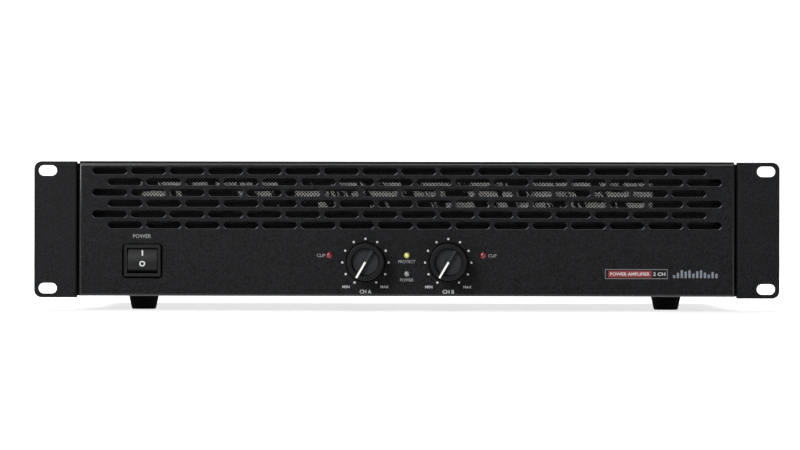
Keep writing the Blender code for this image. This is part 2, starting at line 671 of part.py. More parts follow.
def fan():
    centre = at_rear(FAN_X, FAN_Z, -CASE_SHEET - GAP - FAN_DEPTH / 2)
    frame = block("fan_frame", (FAN_SIZE, FAN_DEPTH, FAN_SIZE), centre, MOULDED)
    cut(frame, rod("fan_bore", FAN_BORE, 40 * MM, centre, FACE_REAR, sides=32))
    for index in range(4):
        x = (index % 2 * 2 - 1) * FAN_HOLES
        z = (index // 2 * 2 - 1) * FAN_HOLES
        cut(frame, rod(f"fan_screw_hole_{index}", 2.2 * MM, 40 * MM, centre + Vector((x, 0, z)), FACE_REAR, sides=8))
    inner = centre - Vector((0, FAN_DEPTH / 2 - 2.2 * MM, 0))
    join(frame, rod("motor_plate", 16 * MM, 3.4 * MM, inner, FACE_REAR, sides=24))
    for index, turn in enumerate((20, 110)):
        strut = (2 * FAN_BORE + 2 * MM, 2.6 * MM, 4 * MM)
        join(frame, block(f"fan_strut_{index}", strut, inner, turn=(0, math.radians(turn), 0)))
    spindle = pivot("fan_spindle", centre, FACE_REAR)
    hub = [(0, 10.5 * MM), (15 * MM, 10.5 * MM), (17 * MM, 8.5 * MM), (17 * MM, -7.2 * MM), (0, -7.2 * MM)]
    rotor = turned("fan_rotor", hub, (0, 0, 0), FACE_UP, MOULDED, steps=21)
    hang(rotor, spindle)
    shape = bmesh.new()
    for index in range(FAN_BLADES):
        turn = Matrix.Rotation(2 * math.pi * index / FAN_BLADES, 4, "Z")
        reach = Matrix.Translation((26 * MM, 0, 1.6 * MM)) @ Matrix.Rotation(math.radians(38), 4, "X")
        size = Matrix.Diagonal((*FAN_BLADE, 1))
        bmesh.ops.create_cube(shape, size=1.0, matrix=turn @ reach @ size)
    blades = add_object("fan_blades", mesh_from(shape, "fan_blades"), (0, 0, 0), FACE_UP, None)
    hang(blades, spindle)
    join(rotor, blades)


def fan_guard():
    middle = at_rear(FAN_X, FAN_Z, GAP + 2.2 * MM)
    reach = FAN_HOLES * math.sqrt(2)
    guard = block("fan_guard", (2 * reach, 1.8 * MM, 2.2 * MM), middle, STEEL, turn=(0, math.radians(45), 0))
    join(guard, block("guard_arm", (2 * reach, 1.8 * MM, 2.2 * MM), middle, turn=(0, math.radians(-45), 0)))
    for index, radius in enumerate((12 * MM, 20.5 * MM, 29 * MM, 37.5 * MM)):
        half = 1 * MM
        profile = [(radius - half, half), (radius + half, half), (radius + half, -half), (radius - half, -half)]
        join(guard, turned(f"guard_ring_{index}", profile, middle, FACE_REAR, steps=24))
    for index in range(4):
        x = (index % 2 * 2 - 1) * FAN_HOLES
        z = (index // 2 * 2 - 1) * FAN_HOLES
        corner = middle + Vector((x, -0.2 * MM, z))
        join(guard, rod(f"guard_eye_{index}", 4 * MM, 2.6 * MM, corner, FACE_REAR, sides=12))
    for index in range(4):
        x = (index % 2 * 2 - 1) * FAN_HOLES
        z = (index // 2 * 2 - 1) * FAN_HOLES
        corner = middle + Vector((x, 0, z))
        cut(guard, rod(f"guard_hole_{index}", 2.1 * MM, 10 * MM, corner, FACE_REAR, sides=8))


def mains_inlet():
    centre = at_rear(INLET_X, REAR_Z, 0)
    inlet = span(
        "mains_inlet",
        centre + Vector((-25 * MM, GAP, -13.75 * MM)),
        centre + Vector((25 * MM, 2.4 * MM, 13.75 * MM)),
        MOULDED,
        bevel=0.6 * MM,
    )
    body = span(
        "inlet_body",
        centre + Vector((-13.6 * MM, -19 * MM, -10.1 * MM)),
        centre + Vector((13.6 * MM, 2 * MM, 10.1 * MM)),
    )
    join(inlet, body)
    well = block("inlet_well", (24.2 * MM, 16 * MM + 4 * MM, 16.6 * MM), centre + Vector((0, -4 * MM, 0)))
    cut(inlet, well)
    for index, (x, up) in enumerate(((-7 * MM, -2.5 * MM), (7 * MM, -2.5 * MM), (0, 2.8 * MM))):
        join(inlet, block(f"inlet_pin_{index}", (2 * MM, 18 * MM, 4 * MM), centre + Vector((x, -9 * MM, up))))
        tag = centre + Vector((x, -22 * MM, up))
        join(inlet, block(f"inlet_tag_{index}", (0.8 * MM, 9 * MM, 4.8 * MM), tag))
    for index, side in enumerate((-1, 1)):
        ear = centre + Vector((side * 20 * MM, 0, 0))
        cut(inlet, rod(f"inlet_screw_hole_{index}", 1.8 * MM, 10 * MM, ear, FACE_REAR, sides=8))


def fuse():
    centre = at_rear(FUSE_X, REAR_Z, 0)
    profile = [(5.6 * MM, 2.4 * MM), (8.6 * MM, 2.4 * MM), (8.6 * MM, GAP), (6.2 * MM, GAP)]
    profile += [(6.2 * MM, -30 * MM), (0, -30 * MM), (0, -27 * MM), (5.6 * MM, -27 * MM)]
    turned("fuse_holder", profile, centre, FACE_REAR, MOULDED, steps=20)
    axle = pivot("fuse_axle", centre, FACE_REAR)
    top = FUSE_CAP_PROUD
    cap = turned(
        "fuse_cap",
        [(0, top), (6.0 * MM, top), (6.6 * MM, top - 0.6 * MM), (6.8 * MM, 2.7 * MM), (5.2 * MM, 2.7 * MM),
         (5.2 * MM, -8 * MM), (0, -8 * MM)],
        (0, 0, 0),
        FACE_UP,
        MOULDED,
        steps=20,
    )
    hang(cap, axle)
    slot = block("cap_slot", (9 * MM, 1.4 * MM, 3 * MM), (0, 0, top))
    hang(slot, axle)
    cut(cap, slot)


def round_socket(name, x, well):
    """A flanged round socket on the rear; well is the profile of the space inside it."""
    centre = at_rear(x, REAR_Z, 0)
    socket = block(name, (26 * MM, 2 * MM, 31 * MM), centre + Vector((0, GAP + 1 * MM, 0)), MOULDED, bevel=0.5 * MM)
    barrel = rod(f"{name}_barrel", 11.7 * MM, 22 * MM, centre + Vector((0, -9.5 * MM, 0)), FACE_REAR, sides=20)
    join(socket, barrel)
    for side in (-1, 1):
        corner = centre + Vector((side * 9.5 * MM, 0, side * 12 * MM))
        cut(socket, rod(f"{name}_screw_hole_{side}", 1.6 * MM, 10 * MM, corner, FACE_REAR, sides=8))
    return socket, turned(f"{name}_well", well, centre, FACE_REAR, steps=20)


def output_socket(letter, x):
    well = [(0, 6 * MM), (10.3 * MM, 6 * MM), (10.3 * MM, -14 * MM), (6.8 * MM, -14 * MM)]
    well += [(6.8 * MM, 0.6 * MM), (0, 0.6 * MM)]
    socket, tool = round_socket(f"output_socket_{letter}", x, well)
    cut(socket, tool)


def input_socket(letter, x):
    name = f"input_socket_{letter}"
    well = [(0, 6 * MM), (9.4 * MM, 6 * MM), (9.4 * MM, -12 * MM), (7.6 * MM, -12 * MM)]
    well += [(7.6 * MM, 0.4 * MM), (0, 0.4 * MM)]
    socket, tool = round_socket(name, x, well)
    centre = at_rear(x, REAR_Z, 0)
    shroud = span(
        f"{name}_shroud",
        centre + Vector((-6 * MM, -9 * MM, 8 * MM)),
        centre + Vector((6 * MM, 1.2 * MM, 14.2 * MM)),
    )
    join(socket, shroud)
    cut(socket, tool)
    pocket = span(
        f"{name}_pocket",
        centre + Vector((-4.9 * MM, -6.2 * MM, 9.9 * MM)),
        centre + Vector((4.9 * MM, 6 * MM, 13.6 * MM)),
    )
    cut(socket, pocket)
    for index in range(3):
        angle = math.radians(90 + 120 * index)
        hole = centre + Vector((4.4 * MM * math.cos(angle), -3 * MM, 4.4 * MM * math.sin(angle) - 0.6 * MM))
        cut(socket, rod(f"{name}_pin_{index}", 1.4 * MM, 14 * MM, hole, FACE_REAR, sides=8))
    span(
        f"latch_tab_{letter}",
        centre + Vector((-4.5 * MM, -4.4 * MM, 10.3 * MM)),
        centre + Vector((4.5 * MM, 3.9 * MM, 13.2 * MM)),
        STEEL,
    )


def mode_switch():
    centre = at_rear(MODE_X, REAR_Z, 0)
    inner = -CASE_SHEET - GAP
    body = span(
        "mode_switch_body",
        centre + Vector((-10 * MM, inner - 8 * MM, -4.5 * MM)),
        centre + Vector((10 * MM, inner, 4.5 * MM)),
        GALVANISED,
    )
    well = span(
        "mode_well",
        centre + Vector((-5.2 * MM, inner - 5 * MM, -2.4 * MM)),
        centre + Vector((5.2 * MM, inner + 5 * MM, 2.4 * MM)),
    )
    cut(body, well)
    left = centre - Vector((MODE_TRAVEL / 2, 0, 0))
    span(
        "mode_switch_slider",
        left + Vector((-2.2 * MM, inner - 4.6 * MM, -2.0 * MM)),
        left + Vector((2.2 * MM, 3.0 * MM, 2.0 * MM)),
        SWITCH_PLASTIC,
        bevel=0.3 * MM,
    )


def mains_harness():
    """The sleeved mains lead along the left side, from the switch's tags to the inlet's."""
    route = [(-171, 23, 32), (-176, 24, 42), (-192, 26, 54), (-201, 27, 76), (-203, 27, 130)]
    route += [(-203, 28, 190), (-202, 34, 226), (-192, 42, 242), (-178, 43, 250)]
    points = smooth_route([at_front(x * MM, height * MM, depth * MM) for x, height, depth in route], 4)
    curve = bpy.data.curves.new("mains_harness", "CURVE")
    curve.dimensions = "3D"
    curve.bevel_depth = 3 * MM
    curve.bevel_resolution = 1
    curve.use_fill_caps = True
    line = curve.splines.new("POLY")
    line.points.add(len(points) - 1)
    for index, point in enumerate(points):
        line.points[index].co = (*point, 1)
    add_object("mains_harness", curve, (0, 0, 0), FACE_UP, CABLE)


def smooth_route(points, steps):
    """Points along a smooth curve through the given ones."""
    ends = [2 * points[0] - points[1]] + points + [2 * points[-1] - points[-2]]
    path = []
    for index in range(1, len(ends) - 2):
        before, start, end, after = ends[index - 1:index + 3]
        for step in range(steps):
            t = step / steps
            path.append(
                0.5 * (2 * start + (end - before) * t + (2 * before - 5 * start + 4 * end - after) * t ** 2
                       + (3 * start - before - 3 * end + after) * t ** 3)
            )
    path.append(points[-1])
    return path


def build():
    front_panel()
    rear_panel()
    case_panels()
    rack_ear(-1, "left")
    rack_ear(1, "right")
    feet()
    dust_screen()
    power_switch()
    level_control(-1, "a")
    level_control(1, "b")
    indicator("clip_led_a", *led_places()[0], RED_LENS)
    indicator("clip_led_b", *led_places()[1], RED_LENS)
    indicator("protect_led", *led_places()[2], YELLOW_LENS)
    indicator("power_led", *led_places()[3], CLEAR_LENS)
    control_board()
    transformer()
    power_supply()
    heat_sink(-1, "a")
    heat_sink(1, "b")
    fan()
    fan_guard()
    mains_inlet()
    fuse()
    output_socket("a", OUTPUT_X[0])
    output_socket("b", OUTPUT_X[1])
    input_socket("a", INPUT_X[0])
    input_socket("b", INPUT_X[1])
    mode_switch()
    mains_harness()


build()
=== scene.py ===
"""Looks of a 2U stereo rack amplifier: case, controls, sockets, lettering and finishes round its frame."""
import json
import math

import bmesh
import bpy
from bpy.props import FloatProperty, FloatVectorProperty, IntProperty, PointerProperty
from mathutils import Matrix, Vector


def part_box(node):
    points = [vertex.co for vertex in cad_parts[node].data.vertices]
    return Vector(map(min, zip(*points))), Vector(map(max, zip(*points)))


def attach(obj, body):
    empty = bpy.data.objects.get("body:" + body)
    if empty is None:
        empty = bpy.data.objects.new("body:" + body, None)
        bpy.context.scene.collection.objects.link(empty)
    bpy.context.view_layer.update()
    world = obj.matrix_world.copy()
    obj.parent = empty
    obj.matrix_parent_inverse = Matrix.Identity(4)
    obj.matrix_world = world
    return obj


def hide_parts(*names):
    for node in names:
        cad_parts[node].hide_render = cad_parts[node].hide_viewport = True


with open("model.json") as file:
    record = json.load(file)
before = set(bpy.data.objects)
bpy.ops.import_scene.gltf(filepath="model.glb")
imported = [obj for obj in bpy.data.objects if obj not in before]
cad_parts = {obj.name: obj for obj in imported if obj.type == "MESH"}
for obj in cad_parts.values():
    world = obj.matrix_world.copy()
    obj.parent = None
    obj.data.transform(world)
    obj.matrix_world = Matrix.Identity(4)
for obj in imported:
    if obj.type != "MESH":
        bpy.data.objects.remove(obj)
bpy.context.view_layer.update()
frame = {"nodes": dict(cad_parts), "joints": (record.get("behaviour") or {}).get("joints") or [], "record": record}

bl_info = {
    "name": "Rack Amplifier",
    "version": (1, 0, 0),
    "blender": (4, 5, 0),
    "location": "View3D > Sidebar > Amplifier",
    "description": "Builds the visible pieces, finishes and stage of a 2U stereo rack amplifier",
    "category": "Object",
}

MM = 0.001
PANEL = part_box("front_panel")
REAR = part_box("rear_panel")
FACE_Y = PANEL[0].y
REAR_Y = REAR[1].y
BOTTOM = PANEL[0].z
FAN_HOLE = 35.75 * MM
INLET_HOLE = 20 * MM
SOCKET_HOLE = (9.5 * MM, 12 * MM)
JOINTS = {joint["name"]: joint for joint in frame["joints"]}
LAMPS = {"clip_led_a": 2.25 * MM, "clip_led_b": 2.25 * MM, "protect_led": 2.0 * MM, "power_led": 1.8 * MM}

TO_FRONT = Matrix.Rotation(math.radians(90), 4, "X")
TO_REAR = Matrix.Rotation(math.radians(180), 4, "Z") @ TO_FRONT
SIDEWAYS = Matrix(((0, 0, 1, 0), (1, 0, 0, 0), (0, 1, 0, 0), (0, 0, 0, 1)))


def mm(*points):
    """Points or outlines given in millimetres."""
    return [tuple(value * MM for value in point) for point in points]


def middle(node):
    """X and Z of the middle of a frame node."""
    low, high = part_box(node)
    return (low.x + high.x) / 2, (low.z + high.z) / 2


# Sizes and colours a user may change

def length(name, description, default):
    return FloatProperty(
        name=name, description=description, default=default, unit="LENGTH", subtype="DISTANCE"
    )


def colour(name, description, default):
    return FloatVectorProperty(
        name=name, description=description, default=default, subtype="COLOR", size=3, min=0, max=1
    )


class AmplifierSizes(bpy.types.PropertyGroup):
    """Sizes of the repeated and rounded details."""

    slot_length: length("Slot length", "End-to-end length of a front vent slot", 22.3 * MM)
    slot_height: length("Slot height", "Height of a front vent slot", 4.7 * MM)
    slot_pitch: length("Slot pitch", "Distance from slot to slot along a row", 25.0 * MM)
    row_pitch: length("Row pitch", "Distance from one row of slots to the next", 7.0 * MM)
    row_shift: length("Row shift", "How far every other row is moved sideways", 10.0 * MM)
    top_row: length("Top row height", "Height of the top row above the panel's lower edge", 81.0 * MM)
    slot_count: IntProperty(name="Slots", description="Slots in one row", default=16, min=1)
    row_count: IntProperty(name="Rows", description="Rows of slots", default=6, min=1)
    sheet: length("Sheet thickness", "Thickness of the folded front panel", 1.5 * MM)
    bend: length("Bend radius", "Outer radius of the panel's folds", 1.8 * MM)
    rim: length("Edge rounding", "Rounding of cut sheet edges", 0.22 * MM)
    vent_rim: length("Vent rounding", "Rounding of the front panel's vents and openings", 0.4 * MM)
    wire_pitch: length("Wire pitch", "Distance between the dust screen's wires", 1.5 * MM)
    wire_radius: length("Wire radius", "Radius of the dust screen's wires", 0.24 * MM)
    screw_head: length("Screw head radius", "Radius of the case screws' heads", 2.8 * MM)
    dot: length("Dial dot radius", "Radius of the dots round a level knob", 0.72 * MM)
    dial: length("Dial radius", "Radius of the circle of dots round a level knob", 15.0 * MM)


class AmplifierColours(bpy.types.PropertyGroup):
    """Colours of the visible finishes."""

    coat: colour("Powder coat", "Colour of the painted sheet metal", (0.0056, 0.0059, 0.0068))
    print: colour("Print", "Colour of the printed lettering and dots", (0.60, 0.61, 0.61))
    badge: colour("Badge field", "Colour of the badge's filled field", (0.20, 0.012, 0.014))
    emblem: colour("Emblem", "Colour of the plain bar emblem", (0.17, 0.19, 0.22))
    knob: colour("Knob", "Colour of the level knobs", (0.0052, 0.0054, 0.0060))
    pointer: colour("Pointer", "Colour of the knobs' pointer lines", (0.86, 0.85, 0.80))
    switch: colour("Switch", "Colour of the rocker switch", (0.0078, 0.0081, 0.0087))
    clip: colour("Clip lens", "Colour of the unlit clip indicators", (0.16, 0.010, 0.014))
    protect: colour("Protect lens", "Colour of the unlit protect indicator", (0.30, 0.31, 0.08))
    power: colour("Power lens", "Colour of the unlit power indicator", (0.22, 0.23, 0.24))
    wire: colour("Screen wire", "Colour of the dust screen's bare wires", (0.80, 0.80, 0.77))
    floor: colour("Floor", "Colour of the floor and backdrop", (0.93, 0.93, 0.93))


def sizes():
    return bpy.context.scene.amplifier_sizes


def colours():
    return bpy.context.scene.amplifier_colours


# Node trees

class Number:
    """A number socket that takes part in arithmetic; each sum adds a Math node."""

    def __init__(self, graph, socket):
        self.graph = graph
        self.socket = socket

    def maths(self, operation, first, second):
        made = self.graph.node("ShaderNodeMath", {"operation": operation}, {0: first, 1: second})
        return Number(self.graph, made.outputs[0])

    def __add__(self, other):
        return self.maths("ADD", self, other)

    __radd__ = __add__

    def __sub__(self, other):
        return self.maths("SUBTRACT", self, other)

    def __rsub__(self, other):
        return self.maths("SUBTRACT", other, self)

    def __mul__(self, other):
        return self.maths("MULTIPLY", self, other)

    __rmul__ = __mul__

    def __truediv__(self, other):
        return self.maths("DIVIDE", self, other)

    def __gt__(self, other):
        return self.maths("GREATER_THAN", self, other)

    def over(self, other):
        return self.maths("MAXIMUM", self, other)

    def floor(self):
        return self.maths("FLOOR", self, 0.0)

    def root(self):
        return self.maths("SQRT", self, 0.0)

    def sine(self):
        return self.maths("SINE", self, 0.0)

    def folded(self):
        return self.maths("ABSOLUTE", self, 0.0)

    def step(self, low, high):
        made = self.graph.node(
            "ShaderNodeMapRange", {"clamp": True}, {"Value": self, "From Min": low, "From Max": high}
        )
        return Number(self.graph, made.outputs[0])


class Graph:
    """A node tree under construction, for a material or for geometry."""

    def __init__(self, tree):
        self.tree = tree

    def node(self, kind, settings=None, sockets=None):
        made = self.tree.nodes.new(kind)
        for name, value in (settings or {}).items():
            if name == "stops":
                self.set_stops(made.color_ramp, value)
            else:
                setattr(made, name, value)
        for name, value in (sockets or {}).items():
            self.feed(made.inputs[name], value)
        return made

    def set_stops(self, ramp, stops):
        for index, (place, tint) in enumerate(stops):
            stop = ramp.elements[index] if index < 2 else ramp.elements.new(place)
            stop.position = place
            stop.color = (*tint, 1)

    def feed(self, socket, value):
        if isinstance(value, Number):
            value = value.socket
        if isinstance(value, bpy.types.NodeSocket):
            self.tree.links.new(value, socket)
        elif socket.type == "RGBA":
            socket.default_value = (*value, 1)
        else:
            socket.default_value = value


class Paint(Graph):
    """One material: a Principled shader whose varying inputs are fed by patterns in Object coordinates."""

    def __init__(self, name, **constants):
        self.material = bpy.data.materials.new(name)
        self.material.use_nodes = True
        super().__init__(self.material.node_tree)
        self.tree.nodes.clear()
        self.place = self.node("ShaderNodeTexCoord").outputs["Object"]
        self.shader = self.node("ShaderNodeBsdfPrincipled", {}, constants)
        self.node("ShaderNodeOutputMaterial", {}, {"Surface": self.shader.outputs[0]})

    def noise(self, scale, detail=2.0, rough=0.5, stretch=None, where=None):
        where = where or self.place
        if stretch:
            where = self.node("ShaderNodeMapping", {}, {"Vector": where, "Scale": stretch}).outputs[0]
        made = self.node("ShaderNodeTexNoise", {}, {
            "Vector": where, "Scale": scale, "Detail": detail, "Roughness": rough,
        })
        return Number(self, made.outputs["Fac"])

    def cells(self, scale):
        made = self.node("ShaderNodeTexVoronoi", {}, {"Vector": self.place, "Scale": scale})
        return Number(self, made.outputs["Distance"])

    def axis(self, letter):
        made = self.node("ShaderNodeSeparateXYZ", {}, {0: self.place})
        return Number(self, made.outputs[letter])

    def blend(self, share, first, second):
        made = self.node("ShaderNodeMix", {"data_type": "RGBA"}, {"Factor": share, 6: first, 7: second})
        return made.outputs[2]

    def set(self, **values):
        for name, value in values.items():
            self.feed(self.shader.inputs[name.replace("_", " ")], value)

    def bump(self, height, strength, depth):
        made = self.node("ShaderNodeBump", {}, {"Height": height, "Strength": strength, "Distance": depth})
        self.feed(self.shader.inputs["Normal"], made.outputs[0])


def tone(base, factor):
    return tuple(channel * factor for channel in base)


# Finishes

def vent_lip_highlights(paint, depth):
    """Share of painted highlight on the lower lips of the front panel's vents, paler paint standing in for the
    light their rounded edges catch, most of all at their corners.

    Places below a row count in row pitches, and places along it in slot pitches.
    """
    size = sizes()
    height = paint.axis("Z") - BOTTOM
    down = (size.top_row - height) / size.row_pitch
    row = (down + 0.1).floor()
    below = down - row
    lower = below.step(0.1, 0.16) * (1 - below.step(0.40, 0.42))
    shift = (row - (row / 2).floor() * 2 - 0.5) * size.row_shift
    along = (paint.axis("X") - shift) / size.slot_pitch + 0.5
    along = along - (along + 0.5).floor()
    right = along.step(0.36, 0.40)
    left = 1 - along.step(-0.40, -0.36)
    rows = (row + 0.5).step(0, 0.1) * (size.row_count - 0.5 - row).step(0, 0.1)
    rim = depth.step(0.00001, 0.00004) * (1 - depth.step(0.0004, 0.00045))
    inside = (PANEL[1].x - 4 * MM - paint.axis("X").folded()).step(0, 0.0002)
    return rim * inside * rows * lower * (right * 0.9 + left * 0.4 + 0.1)


def powder_coat():
    """Fine-grained black paint, glossy over the front panel's edges, with painted highlights on its vents' lower
    lips and painted shade, dark and rough, in its side seams.
    """
    paint = Paint("powder_coat", **{"Specular IOR Level": 0.12, "Coat Roughness": 0.16, "Coat IOR": 1.6})
    depth = paint.axis("Y") - FACE_Y
    side = paint.axis("X").folded() - PANEL[1].x
    # Painted shade: near the front, the side seams by the rack ears are darkened towards black.
    seam_shade = 1 - (side - 0.0004).folded().step(0.0008, 0.0018)
    near = 1 - depth.step(0.02, 0.03)
    edge = depth.step(0.00003, 0.0001) * (1 - depth.step(0.0012, 0.0017))
    paint.set(Coat_Weight=edge * (1 - side.step(-0.0009, 0)) * 0.75)
    grain = paint.noise(1100, 3, 0.6)
    cloud = paint.noise(38, 3, 0.55)
    base = colours().coat
    specks = paint.noise(850, 3, 0.7).step(0.36, 0.64)
    coat = paint.blend(specks * 0.85 + cloud * 0.15, tone(base, 0.02), tone(base, 1.95))
    # Painted highlight: the vents' lower lips far paler than the coat.
    coat = paint.blend(vent_lip_highlights(paint, depth), coat, tone(base, 36))
    paint.set(Base_Color=paint.blend(seam_shade * near * 0.9, coat, (0, 0, 0)))
    paint.set(Roughness=0.31 + grain * 0.08 + cloud * 0.05 + seam_shade * near * 0.45)
    paint.bump(grain + paint.noise(3200, 2) * 0.35, 0.7, 0.0005)
    return paint.material


def printed_ink(name, tint):
    paint = Paint(name)
    wear = paint.noise(1500, 3)
    paint.set(Base_Color=paint.blend(wear, tone(tint, 0.86), tone(tint, 1.1)))
    paint.set(Roughness=0.5 + wear * 0.15)
    paint.bump(wear, 0.08, 0.0001)
    return paint.material


def moulded(name, tint, roughness, grain=1800, shine=0.3):
    paint = Paint(name, **{"Specular IOR Level": shine})
    fine = paint.noise(grain, 2)
    broad = paint.noise(60, 3)
    paint.set(Base_Color=paint.blend(broad, tone(tint, 0.88), tone(tint, 1.12)))
    paint.set(Roughness=roughness - 0.05 + fine * 0.1)
    paint.bump(fine, 0.12, 0.00012)
    return paint.material


def rubber():
    paint = Paint("foot_rubber", **{"Specular IOR Level": 0.06})
    fine = paint.noise(1400, 3)
    dust = paint.noise(90, 4).step(0.55, 0.8)
    paint.set(Base_Color=paint.blend(dust * 0.3, (0.001, 0.001, 0.001), (0.005, 0.005, 0.0048)))
    paint.set(Roughness=0.72 + fine * 0.16)
    paint.bump(fine, 0.25, 0.0002)
    return paint.material


def plated(name, tint, roughness, stretch=None):
    paint = Paint(name, **{"Metallic": 1.0})
    scratches = paint.noise(500, 4, 0.6, stretch)
    stain = paint.noise(70, 3)
    paint.set(Base_Color=paint.blend(stain, tone(tint, 0.8), tint))
    paint.set(Roughness=roughness + scratches * 0.16)
    paint.bump(scratches, 0.06, 0.0001)
    return paint.material


def screen_wire():
    """Wire lit by painted pools of light, with ragged gaps, in a band three vents high where light through the
    vents would fall; near-black painted shade elsewhere.
    """
    band_foot, band_top = 56.5 * MM, 73.6 * MM
    left_end, right_end = 174 * MM, 160 * MM
    paint = Paint("screen_wire")
    across = paint.axis("X")
    height = paint.axis("Z") - BOTTOM
    pitch = sizes().row_pitch
    rows = (height - band_foot) / pitch
    row = rows.floor()
    above = (rows - row) * pitch
    where = paint.node("ShaderNodeCombineXYZ", {}, {
        "X": across + above * 0.4, "Y": row * 0.35, "Z": above * 0.2,
    })
    broad = paint.noise(46, 2, 0.5, None, where.outputs[0])
    fine = paint.noise(210, 3, 0.6, None, where.outputs[0])
    ragged = (paint.noise(330, 2) - 0.5) * 0.0016
    # Painted shadow: only part of each row's height is lit, the rest stands for the panel's shadow between the
    # vents.
    lower = (above + ragged).step(0.0008, 0.0012)
    upper = 1 - (above + ragged).step(0.0042, 0.0046)
    high = 1 - (height + ragged * 0.6).step(band_top, band_top + 0.3 * MM)
    band = (row + 0.5).step(0, 0.1) * (2.9 - row).step(0, 0.1)
    ends = (across + left_end).step(0, 2 * MM) * (right_end - across).step(0, 2 * MM)
    fewer = (0.5 - row).step(0, 0.1)
    amount = broad * 0.6 + fine * 0.4 + across * (0.22 + fewer * 0.35) - fewer * 0.055
    # Noise picks where along each row the painted pools of light fall.
    light_patches = amount.step(0.472, 0.492)
    lit = lower * upper * high * band * ends * light_patches
    shade_base = colours().coat
    # Painted glints: random paler specks over the lit wire.
    glint = paint.noise(900, 2).step(0.3, 0.7)
    bright = paint.blend(glint, tone(colours().wire, 0.75), colours().wire)
    # Lit pools take the wire colour; everywhere else is painted shade, a darkened copy of the coat.
    paint.set(Base_Color=paint.blend(lit, tone(shade_base, 0.35), bright))
    paint.set(Metallic=lit * 0.2)
    paint.set(Roughness=0.7 - lit * 0.3)
    return paint.material


def filter_foam():
    paint = Paint("filter_foam", **{"Specular IOR Level": 0.1, "Roughness": 0.9})
    holes = paint.cells(700)
    # Painted shade: darker towards each cell's middle, as shade in the foam's pores.
    paint.set(Base_Color=paint.blend(holes, (0.0015, 0.0015, 0.0015), (0.006, 0.006, 0.0065)))
    paint.bump(holes, 0.6, 0.0006)
    return paint.material


def lens(name, tint, node=None):
    """Tinted plastic with speckles of painted highlight; the lamp of a given node also has a painted highlight,
    paler towards its middle.
    """
    paint = Paint(name, **{"Coat Weight": 0.6, "Coat Roughness": 0.08, "Subsurface Weight": 0.15,
                           "Subsurface Radius": (0.002, 0.001, 0.001), "Subsurface Scale": 0.4})
    # Painted highlight: noise speckles from a darker to a paler tint stand in for reflections inside the dome;
    # depth here is that speckle mask.
    depth = paint.noise(900, 2).step(0.3, 0.7)
    tinted = paint.blend(depth, tone(tint, 0.35), tone(tint, 1.5))
    # Painted highlight: the named lamp is much paler towards its middle.
    if node:
        x, z = middle(node)
        across = paint.axis("X") - x
        up = paint.axis("Z") - z
        near = 1 - (across * across + up * up).root().step(0.0005, 0.0017)
        tinted = paint.blend(near, tinted, tone(tint, 2.6))
    paint.set(Base_Color=tinted)
    paint.set(Roughness=0.16 + depth * 0.1)
    return paint.material


def circuit_board():
    paint = Paint("circuit_board", **{"Coat Weight": 0.3})
    tracks = ((paint.axis("X") * 1400).sine() * (paint.axis("Y") * 900).sine()).folded()
    wander = paint.noise(120, 2).step(0.48, 0.52)
    copper = (tracks + wander * 0.25) > 0.62
    paint.set(Base_Color=paint.blend(copper, (0.012, 0.085, 0.035), (0.03, 0.16, 0.06)))
    paint.set(Roughness=0.35 + copper * 0.12)
    paint.bump(copper, 0.2, 0.0001)
    return paint.material


def winding_tape():
    paint = Paint("winding_tape", **{"Coat Weight": 0.4})
    lap = ((paint.axis("X") * 420 + paint.axis("Y") * 330).sine()).folded()
    shade = paint.noise(50, 3)
    paint.set(Base_Color=paint.blend(lap * 0.5 + shade * 0.5, (0.30, 0.14, 0.02), (0.62, 0.36, 0.07)))
    paint.set(Roughness=0.3 + lap * 0.15)
    paint.bump(lap, 0.3, 0.0004)
    return paint.material


def braided_sleeve():
    paint = Paint("braided_sleeve")
    one = (paint.axis("Y") * 3500 + paint.axis("Z") * 3500).sine()
    other = (paint.axis("Y") * 3500 - paint.axis("Z") * 3500).sine()
    weave = one.over(other).step(-0.2, 0.9)
    paint.set(Base_Color=paint.blend(weave, (0.01, 0.01, 0.01), (0.05, 0.05, 0.05)))
    paint.set(Roughness=0.5 + weave * 0.2)
    paint.bump(weave, 0.5, 0.0003)
    return paint.material


def stage_white():
    """White floor that glows by itself behind the object and far from it, where the lamps don't reach."""
    paint = Paint("stage_white", **{"Roughness": 0.85, "Emission Strength": 1.0, "Specular IOR Level": 0.0})
    soft = paint.noise(1.5, 2)
    base = colours().floor
    depth = paint.axis("Y")
    across = paint.axis("X")
    away = (across * across + depth * depth).root().step(1.7, 3.0)
    behind = depth.step(-0.1, 1.6).over(depth.step(FACE_Y - 0.02, FACE_Y + 0.04) * 0.75)
    paint.set(Base_Color=paint.blend(soft, tone(base, 0.99), base))
    paint.set(Emission_Color=paint.blend(behind.over(away), tone(base, 0.26), tone(base, 1.0)))
    return paint.material


FINISHES = {}


